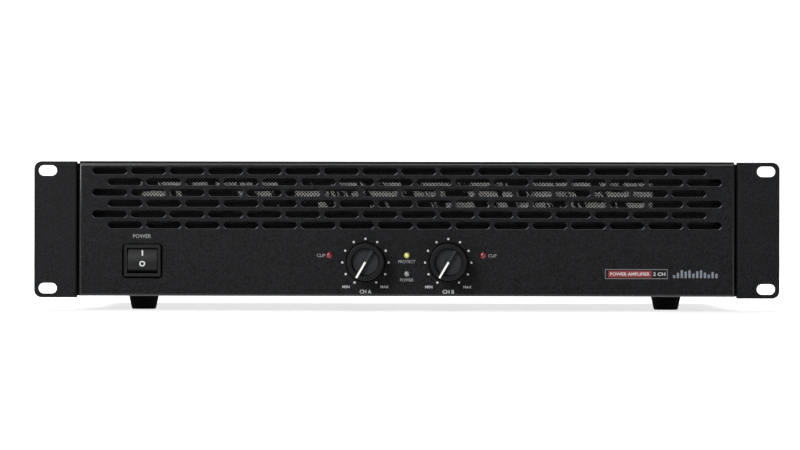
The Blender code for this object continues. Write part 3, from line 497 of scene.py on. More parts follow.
def finish_for(name):
    """Each finish is made once, when it is first asked for."""
    makers = {
        "powder_coat": powder_coat,
        "print": lambda: printed_ink("print", colours().print),
        "faint_print": lambda: printed_ink("faint_print", tone(colours().print, 0.4)),
        "badge_field": lambda: printed_ink("badge_field", colours().badge),
        "emblem": lambda: printed_ink("emblem", colours().emblem),
        "pointer": lambda: printed_ink("pointer", colours().pointer),
        "knob_plastic": lambda: moulded("knob_plastic", colours().knob, 0.34, 1800, 0.16),
        "knob_dish": lambda: moulded("knob_dish", tone(colours().knob, 5.2), 0.5, 1800, 0.12),
        "switch_plastic": lambda: moulded("switch_plastic", colours().switch, 0.32, 2400, 0.2),
        "black_moulding": lambda: moulded("black_moulding", (0.012, 0.012, 0.013), 0.42),
        "black_epoxy": lambda: moulded("black_epoxy", (0.022, 0.022, 0.024), 0.4),
        "capacitor_sleeve": lambda: moulded("capacitor_sleeve", (0.02, 0.03, 0.09), 0.26, 700),
        "foot_rubber": rubber,
        "plated_steel": lambda: plated("plated_steel", (0.55, 0.55, 0.56), 0.22),
        "black_steel": lambda: plated("black_steel", (0.03, 0.03, 0.032), 0.34),
        "galvanised": lambda: plated("galvanised", (0.45, 0.46, 0.47), 0.36),
        "aluminium": lambda: plated("aluminium", (0.62, 0.62, 0.63), 0.28, (6, 0.3, 6)),
        "contact": lambda: plated("contact", (0.68, 0.62, 0.45), 0.2),
        "screen_wire": screen_wire,
        "filter_foam": filter_foam,
        # Near-black finish used only as painted shade in the gaps round the knobs and the switch.
        "skirt": lambda: moulded("skirt", (0.0012, 0.0012, 0.0013), 0.8, 1800, 0.03),
        "red_lens": lambda: lens("red_lens", colours().clip),
        "yellow_lens": lambda: lens("yellow_lens", colours().protect, "protect_led"),
        "clear_lens": lambda: lens("clear_lens", colours().power),
        "circuit_board": circuit_board,
        "winding_tape": winding_tape,
        "cable_sleeve": braided_sleeve,
        "stage_white": stage_white,
    }
    if name not in FINISHES:
        FINISHES[name] = makers[name]()
    return FINISHES[name]


# Shapes: each maker returns a closed bmesh in its final place

def cuboid(low, high, place=Matrix()):
    low, high = Vector(low), Vector(high)
    shape = bmesh.new()
    size = Matrix.Diagonal((*(high - low), 1))
    bmesh.ops.create_cube(shape, size=1.0, matrix=place @ Matrix.Translation((low + high) / 2) @ size)
    return shape


def slab(centre, size, place=Matrix()):
    half = Vector(size) / 2
    return cuboid(Vector(centre) - half, Vector(centre) + half, place)


def cylinder(radius, low, high, place=Matrix(), sides=32):
    return lathe([(0, high), (radius, high), (radius, low), (0, low)], sides, place)


def lathe(profile, steps, place=Matrix()):
    """Spin (radius, height) points about local Z; a profile that starts off the axis is a closed ring."""
    shape = bmesh.new()
    rings = []
    for radius, height in profile:
        if radius == 0:
            rings.append([shape.verts.new((0, 0, height))])
            continue
        ring = []
        for index in range(steps):
            angle = 2 * math.pi * index / steps
            ring.append(shape.verts.new((radius * math.cos(angle), radius * math.sin(angle), height)))
        rings.append(ring)
    pairs = list(zip(rings, rings[1:]))
    if profile[0][0] > 0:
        pairs.append((rings[-1], rings[0]))
    for upper, lower in pairs:
        for index in range(steps if len(upper) + len(lower) > 2 else 0):
            after = index + 1
            corners = [upper[index % len(upper)], upper[after % steps % len(upper)]]
            corners += [lower[after % steps % len(lower)], lower[index % len(lower)]]
            corners = list(dict.fromkeys(corners))
            shape.faces.new(corners)
    bmesh.ops.recalc_face_normals(shape, faces=shape.faces)
    bmesh.ops.transform(shape, matrix=place, verts=shape.verts)
    return shape


def prism(outline, low, high, place=Matrix()):
    """Extrude an outline of (x, y) points along local Z from low to high."""
    shape = bmesh.new()
    face = shape.faces.new([shape.verts.new((x, y, low)) for x, y in outline])
    raised = bmesh.ops.extrude_face_region(shape, geom=[face])
    lifted = [item for item in raised["geom"] if isinstance(item, bmesh.types.BMVert)]
    bmesh.ops.translate(shape, verts=lifted, vec=(0, 0, high - low))
    bmesh.ops.recalc_face_normals(shape, faces=shape.faces)
    bmesh.ops.transform(shape, matrix=place, verts=shape.verts)
    return shape


def rounded(points, segments=4):
    """Round the corners of an outline of (across, up, radius) points; radius 0 keeps one sharp."""
    outline = []
    for index, (across, up, radius) in enumerate(points):
        here = Vector((across, up))
        if radius == 0:
            outline.append(tuple(here))
            continue
        before = Vector(points[index - 1][:2]) - here
        after = Vector(points[(index + 1) % len(points)][:2]) - here
        reach = radius / math.tan(before.angle(after) / 2)
        reach = min(reach, 0.49 * before.length, 0.49 * after.length)
        start = here + before.normalized() * reach
        end = here + after.normalized() * reach
        for step in range(segments + 1):
            share = step / segments
            point = start * (1 - share) ** 2 + here * 2 * share * (1 - share) + end * share ** 2
            outline.append(tuple(point))
    return outline


def rectangle(width, height, corner=0.0, centre=(0, 0), segments=4):
    x, y = width / 2, height / 2
    corners = ((x, y), (-x, y), (-x, -y), (x, -y))
    return rounded([(centre[0] + a, centre[1] + b, corner) for a, b in corners], segments)


def slot(slot_length, height, centre=(0, 0), steps=12):
    """A round-ended slot."""
    outline = []
    for side in (1, -1):
        for index in range(steps + 1):
            angle = math.pi * (index / steps - 0.5)
            across = (slot_length - height) / 2 + math.cos(angle) * height / 2
            outline.append((centre[0] + side * across, centre[1] + side * math.sin(angle) * height / 2))
    return outline


def circle(radius, centre, sides):
    """Points of a circle round a place, such as the section of a bent wire."""
    outline = []
    for index in range(sides):
        angle = math.tau * index / sides
        outline.append((centre[0] + radius * math.cos(angle), centre[1] + radius * math.sin(angle)))
    return outline


def merged(*shapes):
    """Several shapes that don't meet, as one bmesh."""
    whole = bmesh.new()
    for shape in shapes:
        mesh = bpy.data.meshes.new("part")
        shape.to_mesh(mesh)
        shape.free()
        whole.from_mesh(mesh)
        bpy.data.meshes.remove(mesh)
    return whole


def temporary(shape):
    mesh = bpy.data.meshes.new("temporary")
    shape.to_mesh(mesh)
    shape.free()
    made = bpy.data.objects.new("temporary", mesh)
    bpy.context.scene.collection.objects.link(made)
    return made


def settled(*objects):
    """The evaluated mesh of the first object; all of them are removed."""
    graph = bpy.context.evaluated_depsgraph_get()
    mesh = bpy.data.meshes.new_from_object(objects[0].evaluated_get(graph))
    for made in objects:
        bpy.data.objects.remove(made, do_unlink=True)
    return mesh


def combined(operation, first, *others):
    """One shape from several by Booleans."""
    base = temporary(first)
    tools = [temporary(shape) for shape in others]
    for tool in tools:
        step = base.modifiers.new("combine", "BOOLEAN")
        step.operation = operation
        step.solver = "EXACT"
        step.object = tool
    mesh = settled(base, *tools)
    shape = bmesh.new()
    shape.from_mesh(mesh)
    bpy.data.meshes.remove(mesh)
    bmesh.ops.remove_doubles(shape, verts=shape.verts, dist=0.000002)
    return shape


def cut(first, *others):
    return combined("DIFFERENCE", first, *others)


def join(first, *others):
    return combined("UNION", first, *others)


def round_edges(shape, edges, width, segments):
    bmesh.ops.bevel(
        shape, geom=edges, offset=width, segments=segments, profile=0.5, affect="EDGES", clamp_overlap=False
    )


def soften(shape, width, segments=2, angle=40):
    """Round every edge sharper than the angle."""
    limit = math.radians(angle)
    edges = [edge for edge in shape.edges if len(edge.link_faces) == 2 and edge.calc_face_angle() > limit]
    round_edges(shape, edges, width, segments)
    return shape


def publish(name, shape, finish, body="chassis", replaces=(), angle=38):
    """A finished piece from a bmesh or a mesh: shaded, painted, riding on its body.

    A piece that replaces frame nodes hides them; every piece's one material has the finish's name.
    """
    if isinstance(shape, bmesh.types.BMesh):
        mesh = bpy.data.meshes.new(name)
        shape.to_mesh(mesh)
        shape.free()
    else:
        mesh = shape
        mesh.name = name
    mesh.shade_smooth()
    mesh.set_sharp_from_angle(angle=math.radians(angle))
    draft = bpy.data.objects.new(name + "_draft", mesh)
    bpy.context.scene.collection.objects.link(draft)
    draft.modifiers.new("weighted", "WEIGHTED_NORMAL").keep_sharp = True
    mesh = settled(draft)
    mesh.name = name
    mesh.materials.clear()
    mesh.materials.append(finish_for(finish))
    piece = bpy.data.objects.new(name, mesh)
    bpy.context.scene.collection.objects.link(piece)
    if replaces:
        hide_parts(*replaces)
    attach(piece, body)
    return piece


# Geometry node trees

class Growth(Graph):
    """A geometry node tree with named inputs, ended by Realize Instances and Set Material."""

    def __init__(self, name, inputs):
        super().__init__(bpy.data.node_groups.new(name, "GeometryNodeTree"))
        self.inputs = inputs
        face = self.tree.interface
        face.new_socket("Geometry", in_out="INPUT", socket_type="NodeSocketGeometry")
        face.new_socket("Geometry", in_out="OUTPUT", socket_type="NodeSocketGeometry")
        self.keys = {}
        for label, value in inputs.items():
            kind = "NodeSocketInt" if isinstance(value, int) else "NodeSocketFloat"
            made = face.new_socket(label, in_out="INPUT", socket_type=kind)
            self.keys[label] = made.identifier
        self.entry = self.tree.nodes.new("NodeGroupInput")

    def given(self, label):
        return Number(self, self.entry.outputs[label])

    def end(self, geometry, finish):
        whole = self.node("GeometryNodeRealizeInstances", {}, {0: geometry})
        painted = self.node("GeometryNodeSetMaterial", {}, {"Geometry": whole.outputs[0]})
        painted.inputs["Material"].default_value = finish_for(finish)
        self.node("NodeGroupOutput", {}, {0: painted.outputs[0]})

    def index(self):
        return Number(self, self.node("GeometryNodeInputIndex").outputs[0])

    def place_across(self):
        """X of each point's place."""
        place = self.node("GeometryNodeInputPosition").outputs[0]
        return Number(self, self.node("ShaderNodeSeparateXYZ", {}, {0: place}).outputs["X"])

    def copies(self, points, piece):
        """One instance of a piece on each point."""
        made = self.node("GeometryNodeInstanceOnPoints", {}, {"Points": points, "Instance": piece})
        return made.outputs[0]

    def grow(self, base=None):
        """The tree's result as a plain mesh, grown from the base mesh or from nothing."""
        made = bpy.data.objects.new("grown", base or bpy.data.meshes.new("grown"))
        bpy.context.scene.collection.objects.link(made)
        step = made.modifiers.new("grow", "NODES")
        step.node_group = self.tree
        for label, value in self.inputs.items():
            step[self.keys[label]] = value
        return settled(made)


def vector(growth, x=0.0, y=0.0, z=0.0):
    return growth.node("ShaderNodeCombineXYZ", {}, {"X": x, "Y": y, "Z": z}).outputs[0]


def vent_cutter():
    """The tool that cuts the front panel's vents: rows of round-ended prisms, every other row shifted."""
    size = sizes()
    growth = Growth("vent_slots", {
        "Slot Length": size.slot_length,
        "Slot Height": size.slot_height,
        "Slot Pitch": size.slot_pitch,
        "Row Pitch": size.row_pitch,
        "Row Shift": size.row_shift,
        "Slots": size.slot_count,
        "Rows": size.row_count,
    })
    slots = growth.given("Slots")
    straight = growth.given("Slot Length") - growth.given("Slot Height")
    end = growth.node("GeometryNodeMeshCircle", {"fill_type": "NGON"}, {"Vertices": 28})
    growth.feed(end.inputs["Radius"], growth.given("Slot Height") / 2)
    move = ((growth.place_across() > 0) - 0.5) * straight
    stretched = growth.node("GeometryNodeSetPosition", {}, {"Geometry": end.outputs["Mesh"]})
    growth.feed(stretched.inputs["Offset"], vector(growth, x=move))
    tall = growth.node("GeometryNodeExtrudeMesh", {"mode": "FACES"}, {"Mesh": stretched.outputs[0]})
    growth.feed(tall.inputs["Offset Scale"], 8 * MM)
    flipped = growth.node("GeometryNodeFlipFaces", {}, {"Mesh": stretched.outputs[0]})
    both = growth.node("GeometryNodeJoinGeometry", {}, {0: tall.outputs[0]})
    growth.feed(both.inputs[0], flipped.outputs[0])
    closed = growth.node("GeometryNodeMergeByDistance", {}, {0: both.outputs[0], "Distance": 0.00001})
    grid = growth.node("GeometryNodeMeshLine", {"mode": "OFFSET"}, {})
    growth.feed(grid.inputs["Count"], slots * growth.given("Rows"))
    growth.feed(grid.inputs["Offset"], (0.0, 0.0, 0.0))
    index = growth.index()
    row = ((index + 0.5) / slots).floor()
    column = index - row * slots
    odd = row - 2 * (row / 2).floor()
    x = (column - (slots - 1) / 2) * growth.given("Slot Pitch")
    x = x + (odd - 0.5) * growth.given("Row Shift")
    y = row * growth.given("Row Pitch") * -1
    spread = growth.node("GeometryNodeSetPosition", {}, {"Geometry": grid.outputs[0]})
    growth.feed(spread.inputs["Position"], vector(growth, x=x, y=y))
    growth.end(growth.copies(spread.outputs[0], closed.outputs[0]), "powder_coat")
    mesh = growth.grow()
    shape = bmesh.new()
    shape.from_mesh(mesh)
    bmesh.ops.recalc_face_normals(shape, faces=shape.faces)
    place = Matrix.Translation((0, FACE_Y + 4 * MM, BOTTOM + size.top_row)) @ TO_FRONT
    bmesh.ops.transform(shape, matrix=place, verts=shape.verts)
    return shape


def woven_screen():
    """Slanting wires that pass over and under each other, filling a sheet centred on the origin."""
    size = sizes()
    low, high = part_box("dust_screen")
    growth = Growth("woven_screen", {
        "Width": high.x - low.x,
        "Height": high.z - low.z,
        "Pitch": size.wire_pitch,
        "Wire Radius": size.wire_radius,
    })
    width, height = growth.given("Width"), growth.given("Height")
    spacing = growth.given("Pitch") * math.sqrt(2)
    profile = growth.node("GeometryNodeCurvePrimitiveCircle", {"mode": "RADIUS"}, {"Resolution": 4})
    growth.feed(profile.inputs["Radius"], growth.given("Wire Radius"))
    whole = growth.node("GeometryNodeJoinGeometry")
    for lean in (1, -1):
        start = vector(growth, x=height * (-0.5 * lean), y=height * -0.5)
        end = vector(growth, x=height * (0.5 * lean), y=height * 0.5)
        line = growth.node("GeometryNodeCurvePrimitiveLine", {}, {"Start": start, "End": end})
        points = growth.node("GeometryNodeResampleCurve", {}, {"Curve": line.outputs[0]})
        growth.feed(points.inputs["Count"], height * 2 / spacing + 1)
        wave = (growth.index() * math.pi + math.pi / 2).sine() * growth.given("Wire Radius") * lean
        waved = growth.node("GeometryNodeSetPosition", {}, {"Geometry": points.outputs[0]})
        growth.feed(waved.inputs["Offset"], vector(growth, z=wave))
        row = growth.node("GeometryNodeMeshLine", {"mode": "OFFSET"}, {})
        growth.feed(row.inputs["Count"], (width + height) / spacing)
        growth.feed(row.inputs["Offset"], vector(growth, x=spacing))
        growth.feed(row.inputs["Start Location"], vector(growth, x=(width + height) * -0.5))
        wires = growth.copies(row.outputs[0], waved.outputs[0])
        loose = growth.node("GeometryNodeRealizeInstances", {}, {0: wires})
        beyond = growth.place_across().folded() > width * 0.5
        kept = growth.node("GeometryNodeDeleteGeometry", {"domain": "POINT"}, {
            "Geometry": loose.outputs[0], "Selection": beyond,
        })
        tubes = growth.node("GeometryNodeCurveToMesh", {}, {
            "Curve": kept.outputs[0], "Profile Curve": profile.outputs[0],
        })
        tubes.inputs["Fill Caps"].default_value = True
        growth.feed(whole.inputs[0], tubes.outputs[0])
    growth.end(whole.outputs[0], "screen_wire")
    mesh = growth.grow()
    centre = (low + high) / 2
    mesh.transform(Matrix.Translation(centre) @ TO_FRONT)
    return mesh


def dial_dots():
    """Eleven printed dots on an arc, centred on the origin in the local XY plane."""
    growth = Growth("dial_dots", {"Dots": 11, "Dial Radius": sizes().dial, "Dot Radius": sizes().dot})
    sweep = math.radians(304)
    dot = growth.node("GeometryNodeMeshCylinder", {"fill_type": "NGON"}, {
        "Vertices": 20, "Depth": 0.05 * MM, "Radius": growth.given("Dot Radius"),
    })
    line = growth.node("GeometryNodeMeshLine", {"mode": "OFFSET"}, {"Offset": (0.0, 0.0, 0.0)})
    growth.feed(line.inputs["Count"], growth.given("Dots"))
    angle = (growth.index() / (growth.given("Dots") - 1) - 0.5) * sweep
    x = angle.sine() * growth.given("Dial Radius")
    y = (angle + math.pi / 2).sine() * growth.given("Dial Radius")
    arc = growth.node("GeometryNodeSetPosition", {}, {"Geometry": line.outputs[0]})
    growth.feed(arc.inputs["Position"], vector(growth, x=x, y=y))
    growth.end(growth.copies(arc.outputs[0], dot.outputs["Mesh"]), "print")
    return growth


def screw_shape(radius):
    """A pan-head screw with a cross recess, head up on local Z."""
    height = radius * 0.62
    head = [(0, height, 0), (radius * 0.72, height, radius * 0.5), (radius, height * 0.35, radius * 0.25)]
    head += [(radius, 0, 0), (0, 0, 0)]
    shape = lathe(rounded(head, 3), 20)
    arms = []
    for width, depth in ((1.15, 0.26), (0.26, 1.15)):
        arms.append(slab((0, 0, height), (radius * width, radius * depth, radius * 0.6)))
    return cut(shape, *arms)


def screws(name, places, radius, finish):
    """Screw heads on the given (place, facing) points."""
    growth = Growth("screw_heads", {"Head Radius": radius})
    points = bpy.data.meshes.new("screw_places")
    points.from_pydata([place for place, facing in places], [], [])
    facing = points.attributes.new("facing", "FLOAT_VECTOR", "POINT")
    facing.data.foreach_set("vector", [value for place, way in places for value in way])
    head = temporary(screw_shape(1.0))
    source = growth.node("GeometryNodeObjectInfo", {}, {"Object": head})
    way = growth.node("GeometryNodeInputNamedAttribute", {"data_type": "FLOAT_VECTOR"}, {"Name": "facing"})
    turn = growth.node("FunctionNodeAlignRotationToVector", {"axis": "Z"}, {"Vector": way.outputs[0]})
    heads = growth.node("GeometryNodeInstanceOnPoints", {}, {
        "Points": growth.entry.outputs["Geometry"],
        "Instance": source.outputs["Geometry"],
        "Rotation": turn.outputs[0],
    })
    radius_in = growth.given("Head Radius")
    growth.feed(heads.inputs["Scale"], vector(growth, radius_in, radius_in, radius_in))
    growth.end(heads.outputs[0], finish)
    mesh = growth.grow(points)
    bpy.data.objects.remove(head, do_unlink=True)
    publish(name, mesh, finish)


# Case

def folded_tray(low, high, face, sheet, bend):
    """A panel folded back on four sides; face is the Y of its outer face."""
    shape = cuboid(low, high)
    edges = [edge for edge in shape.edges if all(abs(vert.co.y - face) < MM for vert in edge.verts)]
    round_edges(shape, edges, bend, 5)
    low, high = Vector(low), Vector(high)
    inner_low = low + Vector((sheet, sheet, sheet))
    inner_high = high - Vector((sheet, sheet, sheet))
    if face == low.y:
        inner_high.y = high.y + sheet
    else:
        inner_low.y = low.y - sheet
    hollow = cuboid(inner_low, inner_high)
    edges = [edge for edge in hollow.edges if all(abs(vert.co.y - face) < 3 * MM for vert in edge.verts)]
    round_edges(hollow, edges, bend * 0.4, 3)
    return cut(shape, hollow)


def drill(radius, x, z, y, sides=40):
    """A round cutter along Y at a place on the front or rear panel."""
    return cylinder(radius, -8 * MM, 8 * MM, Matrix.Translation((x, y, z)) @ TO_FRONT, sides)


class AMPLIFIER_OT_front_panel(bpy.types.Operator):
    """Folded front panel with its vents and control openings"""

    bl_idname = "amplifier.front_panel"
    bl_label = "Front panel"

    def execute(self, context):
        size = sizes()
        shape = folded_tray(PANEL[0], PANEL[1], FACE_Y, size.sheet, size.bend)
        low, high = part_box("power_switch_housing")
        centre = (low + high) / 2
        window = rectangle(high.x - low.x + 2.0 * MM, high.z - low.z + 1.4 * MM, 2.6 * MM)
        spot = Matrix.Translation((centre.x, FACE_Y, centre.z - 0.3 * MM)) @ TO_FRONT
        tools = [prism(window, -8 * MM, 8 * MM, spot)]
        for name in ("level_a_turn", "level_b_turn"):
            x, _, z = JOINTS[name]["pos_m"]
            tools.append(drill(4.8 * MM, x, z, FACE_Y))
        for node, radius in LAMPS.items():
            tools.append(drill(radius + 0.12 * MM, *middle(node), FACE_Y))
        shape = cut(shape, vent_cutter(), merged(*tools))
        soften(shape, size.vent_rim, 3, 50)
        publish("front_panel_sheet", shape, "powder_coat", "chassis", ["front_panel"])
        return {"FINISHED"}


class AMPLIFIER_OT_case(bpy.types.Operator):
    """Top cover, side panels and rear panel"""

    bl_idname = "amplifier.case"
    bl_label = "Case"

    def execute(self, context):
        size = sizes()
        self.top_cover(size)
        self.rear_panel(size)
        for word in ("left", "right"):
            low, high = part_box(f"side_panel_{word}")
            shape = soften(cuboid(low, high), size.rim, 2)
            publish(f"side_sheet_{word}", shape, "powder_coat", "chassis", [f"side_panel_{word}"])
        low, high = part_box("chassis_floor")
        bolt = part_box("transformer_bolt")
        centre = (bolt[0] + bolt[1]) / 2
        place = Matrix.Translation((centre.x, centre.y, 0))
        hole = cylinder(4.4 * MM, low.z - 5 * MM, high.z + 5 * MM, place)
        shape = soften(cut(cuboid(low, high), hole), size.rim, 2)
        publish("floor_sheet", shape, "powder_coat", "chassis", ["chassis_floor"])
        return {"FINISHED"}

    def top_cover(self, size):
        low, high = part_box("top_cover")
        sheet = 1.0 * MM
        lips_from = PANEL[1].y + 0.3 * MM
        shape = cuboid((low.x, lips_from, low.z), high)
        edges = [edge for edge in shape.edges if all(vert.co.z > high.z - MM for vert in edge.verts)]
        edges = [edge for edge in edges if abs(edge.verts[0].co.x - edge.verts[1].co.x) < MM]
        round_edges(shape, edges, size.bend, 5)
        hollow = cuboid(
            (low.x + sheet, lips_from - 9 * MM, 0),
            (high.x - sheet, high.y + 9 * MM, high.z - sheet),
        )
        nose = cuboid(
            (PANEL[0].x + 0.6 * MM, low.y, high.z - sheet),
            (PANEL[1].x - 0.6 * MM, lips_from + 6 * MM, high.z - 0.04 * MM),
        )
        shape = join(cut(shape, hollow), nose)
        soften(shape, size.rim, 2, 50)
        for vert in shape.verts:
            vert.co.z = min(vert.co.z, high.z)
        publish("cover_sheet", shape, "powder_coat", "chassis", ["top_cover"])

    def rear_panel(self, size):
        shape = folded_tray(REAR[0], REAR[1], REAR_Y, 1.2 * MM, size.bend)
        x, z = middle("mains_inlet")
        tools = [slab((x, REAR_Y, z), (28 * MM, 16 * MM, 21 * MM))]
        tools.append(drill(6.5 * MM, middle("fuse_holder")[0], z, REAR_Y))
        tools.append(slab((middle("mode_switch_body")[0], REAR_Y, z), (11.6 * MM, 16 * MM, 5.2 * MM)))
        tools.append(drill(37.2 * MM, *middle("fan_frame"), REAR_Y, 64))
        for letter in ("a", "b"):
            for kind in ("input", "output"):
                tools.append(drill(12.1 * MM, middle(f"{kind}_socket_{letter}")[0], z, REAR_Y))
        shape = cut(shape, merged(*tools))
        soften(shape, size.rim, 2, 50)
        publish("rear_panel_sheet", shape, "powder_coat", "chassis", ["rear_panel"])


class AMPLIFIER_OT_rack_ears(bpy.types.Operator):
    """Folded rack ears with rounded corners and round-ended slots"""

    bl_idname = "amplifier.rack_ears"
    bl_label = "Rack ears"

    def execute(self, context):
        for side, word in ((-1, "left"), (1, "right")):
            low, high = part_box(f"rack_ear_{word}")
            self.ear(side, word, low, high)
        return {"FINISHED"}

    def ear(self, side, word, low, high):
        sheet, bend, corner = 2.0 * MM, 1.9 * MM, 4.8 * MM
        outer = max(abs(low.x), abs(high.x))
        inner = min(abs(low.x), abs(high.x))
        depth = high.y - low.y
        points = [(outer, 0, 0), (outer, sheet, 0), (inner + sheet, sheet, 0.6 * MM)]
        points += [(inner + sheet, depth, 0), (inner, depth, 0), (inner, 0, bend)]
        outline = [(side * x, y) for x, y in rounded(points, 8)]
        shape = prism(outline, low.z, high.z, Matrix.Translation((0, low.y, 0)))
        ends = []
        for edge in shape.edges:
            first, second = (vert.co for vert in edge.verts)
            at_end = all(abs(abs(point.x) - outer) < 0.1 * MM for point in (first, second))
            if at_end and abs(first.z - second.z) < 0.1 * MM:
                ends.append(edge)
        round_edges(shape, ends, corner, 10)
        halfway = (low.z + high.z) / 2
        tools = []
        for up in (-1, 1):
            centre = (side * 232.55 * MM, halfway + up * 38.1 * MM)
            window = slot(11.9 * MM, 6.8 * MM, centre, 16)
            tools.append(prism(window, -low.y - 9 * MM, -low.y + 9 * MM, TO_FRONT))
            reach = high.z if up == 1 else low.z
            tools.append(slab((side * inner, low.y + sheet + 30 * MM, reach), (14 * MM, 59 * MM, 2.1 * MM)))
        shape = cut(shape, merged(*tools))
        soften(shape, 0.2 * MM, 2, 50)
        publish(f"ear_{word}", shape, "powder_coat", "chassis", [f"rack_ear_{word}"])


class AMPLIFIER_OT_feet(bpy.types.Operator):
    """Tapered rubber feet with a recess for their screws"""

    bl_idname = "amplifier.feet"
    bl_label = "Feet"

    def execute(self, context):
        for row in ("front", "rear"):
            for word in ("left", "right"):
                node = f"foot_{row}_{word}"
                low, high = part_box(node)
                top, wide = high.z - low.z, (high.x - low.x) / 2
                points = [(0, top, 0), (wide, top, 0.4 * MM), (wide * 0.8, 0, 1.2 * MM)]
                points += mm((3.5, 0, 0.5), (3.5, 5, 0), (0, 5, 0))
                place = Matrix.Translation(((low.x + high.x) / 2, (low.y + high.y) / 2, low.z))
                shape = lathe(rounded(points), 56, place)
                publish(f"rubber_{node}", shape, "foot_rubber", "chassis", [node])
        return {"FINISHED"}


class AMPLIFIER_OT_dust_screen(bpy.types.Operator):
    """Woven wire screen behind the vents, with its frame and filter foam"""

    bl_idname = "amplifier.dust_screen"
    bl_label = "Dust screen"

    def execute(self, context):
        publish("woven_dust_screen", woven_screen(), "screen_wire", "chassis", ["dust_screen"], 80)
        low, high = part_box("dust_screen")
        border, margin = 1.3 * MM, 0.2 * MM
        outer = cuboid((low.x - margin, low.y, low.z), (high.x + margin, high.y, high.z))
        inner = cuboid(
            (low.x + border, low.y - MM, low.z + border),
            (high.x - border, high.y + MM, high.z - border),
        )
        publish("dust_screen_frame", cut(soften(outer, 0.2 * MM, 2), inner), "powder_coat")
        back = high.y + 0.3 * MM
        foam = cuboid((low.x + MM, back, low.z + margin), (high.x - MM, back + 3 * MM, high.z))
        publish("dust_filter", soften(foam, 0.7 * MM, 3), "filter_foam")
        return {"FINISHED"}


# Front controls

class AMPLIFIER_OT_switch(bpy.types.Operator):
    """Rocker switch: bezel, rocker and its marks"""

    bl_idname = "amplifier.switch"
    bl_label = "Power switch"

    reach = 7.9 * MM
    top = 7.3 * MM
    bottom = -5.5 * MM

    def execute(self, context):
        low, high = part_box("power_switch_housing")
        pivot = Vector(JOINTS["power_rocker_hinge"]["pos_m"])
        bezel = prism(
            rectangle(23.8 * MM, 20.7 * MM, 1.2 * MM),
            -FACE_Y - 1.2 * MM,
            -low.y,
            Matrix.Translation((pivot.x, 0, pivot.z)) @ TO_FRONT,
        )
        rim = [edge for edge in bezel.edges if all(vert.co.y < low.y + 0.1 * MM for vert in edge.verts)]
        round_edges(bezel, rim, 0.5 * MM, 4)
        # Painted shade: a near-black collar behind the panel's opening stands in for the dark gap round the bezel.
        gap_shade = slab((pivot.x, FACE_Y + 2.6 * MM, pivot.z), (30 * MM, 1.4 * MM, 26 * MM))
        gap = slab((pivot.x, FACE_Y + 2.6 * MM, pivot.z), (23.6 * MM, 3 * MM, 20.5 * MM))
        publish("switch_collar", soften(cut(gap_shade, gap), 0.1 * MM, 1), "skirt")
        body = cuboid(
            (pivot.x - 11.1 * MM, low.y + MM, pivot.z - 9.9 * MM),
            (pivot.x + 11.1 * MM, FACE_Y + 22 * MM, pivot.z + 9.9 * MM),
        )
        well = slab((pivot.x, pivot.y, pivot.z), (19.7 * MM, 24 * MM, 16.3 * MM))
        shape = cut(join(bezel, body), well)
        soften(shape, 0.22 * MM, 2, 50)
        publish("switch_bezel", shape, "switch_plastic", "chassis", ["power_switch_housing"])
        self.rocker(pivot)
        return {"FINISHED"}

    def front(self, up):
        """How far in front of the pivot the rocker's hollow, sloping face is at a height above it."""
        along = (up - (self.top + self.bottom) / 2) / ((self.top - self.bottom) / 2)
        return (4.15 - 0.85 * along + 0.7 * along ** 2) * MM

    def rocker(self, pivot):
        width = 19.2 * MM
        tilt_at_rest = math.radians(-10)
        turn = Matrix.Translation(pivot) @ Matrix.Rotation(tilt_at_rest, 4, "X")
        outline = []
        for index in range(17):
            up = self.top + (self.bottom - self.top) * index / 16
            outline.append((-self.front(up), up, 0.45 * MM if index in (0, 16) else 0))
        for step in range(1, 12):
            angle = math.radians(-44 - step * 6.7)
            outline.append((-self.reach * math.cos(angle), self.reach * math.sin(angle), 0))
        for step in range(5):
            angle = math.radians(118 - step * 7)
            outline.append((-self.reach * math.cos(angle), self.reach * math.sin(angle), 0))
        shape = prism(rounded(outline, 4), -width / 2, width / 2, turn @ SIDEWAYS)
        soften(shape, 0.3 * MM, 3, 50)
        publish("rocker", shape, "switch_plastic", "power_rocker", ["power_switch_rocker"])
        bar = prism(rectangle(1.0 * MM, 3.6 * MM, 0.1 * MM, (0, 4.3 * MM), 2), 0, 0.05 * MM)
        profile = mm((1.1, 0.05), (1.9, 0.05), (1.9, 0), (1.1, 0))
        ring = lathe(profile, 40, Matrix.Translation((0, -2.95 * MM, 0)))
        marks = merged(bar, ring)
        for vert in marks.verts:
            vert.co.z += self.front(vert.co.y) - 0.02 * MM
        bmesh.ops.transform(marks, matrix=turn @ TO_FRONT, verts=marks.verts)
        publish("rocker_marks", marks, "print", "power_rocker")


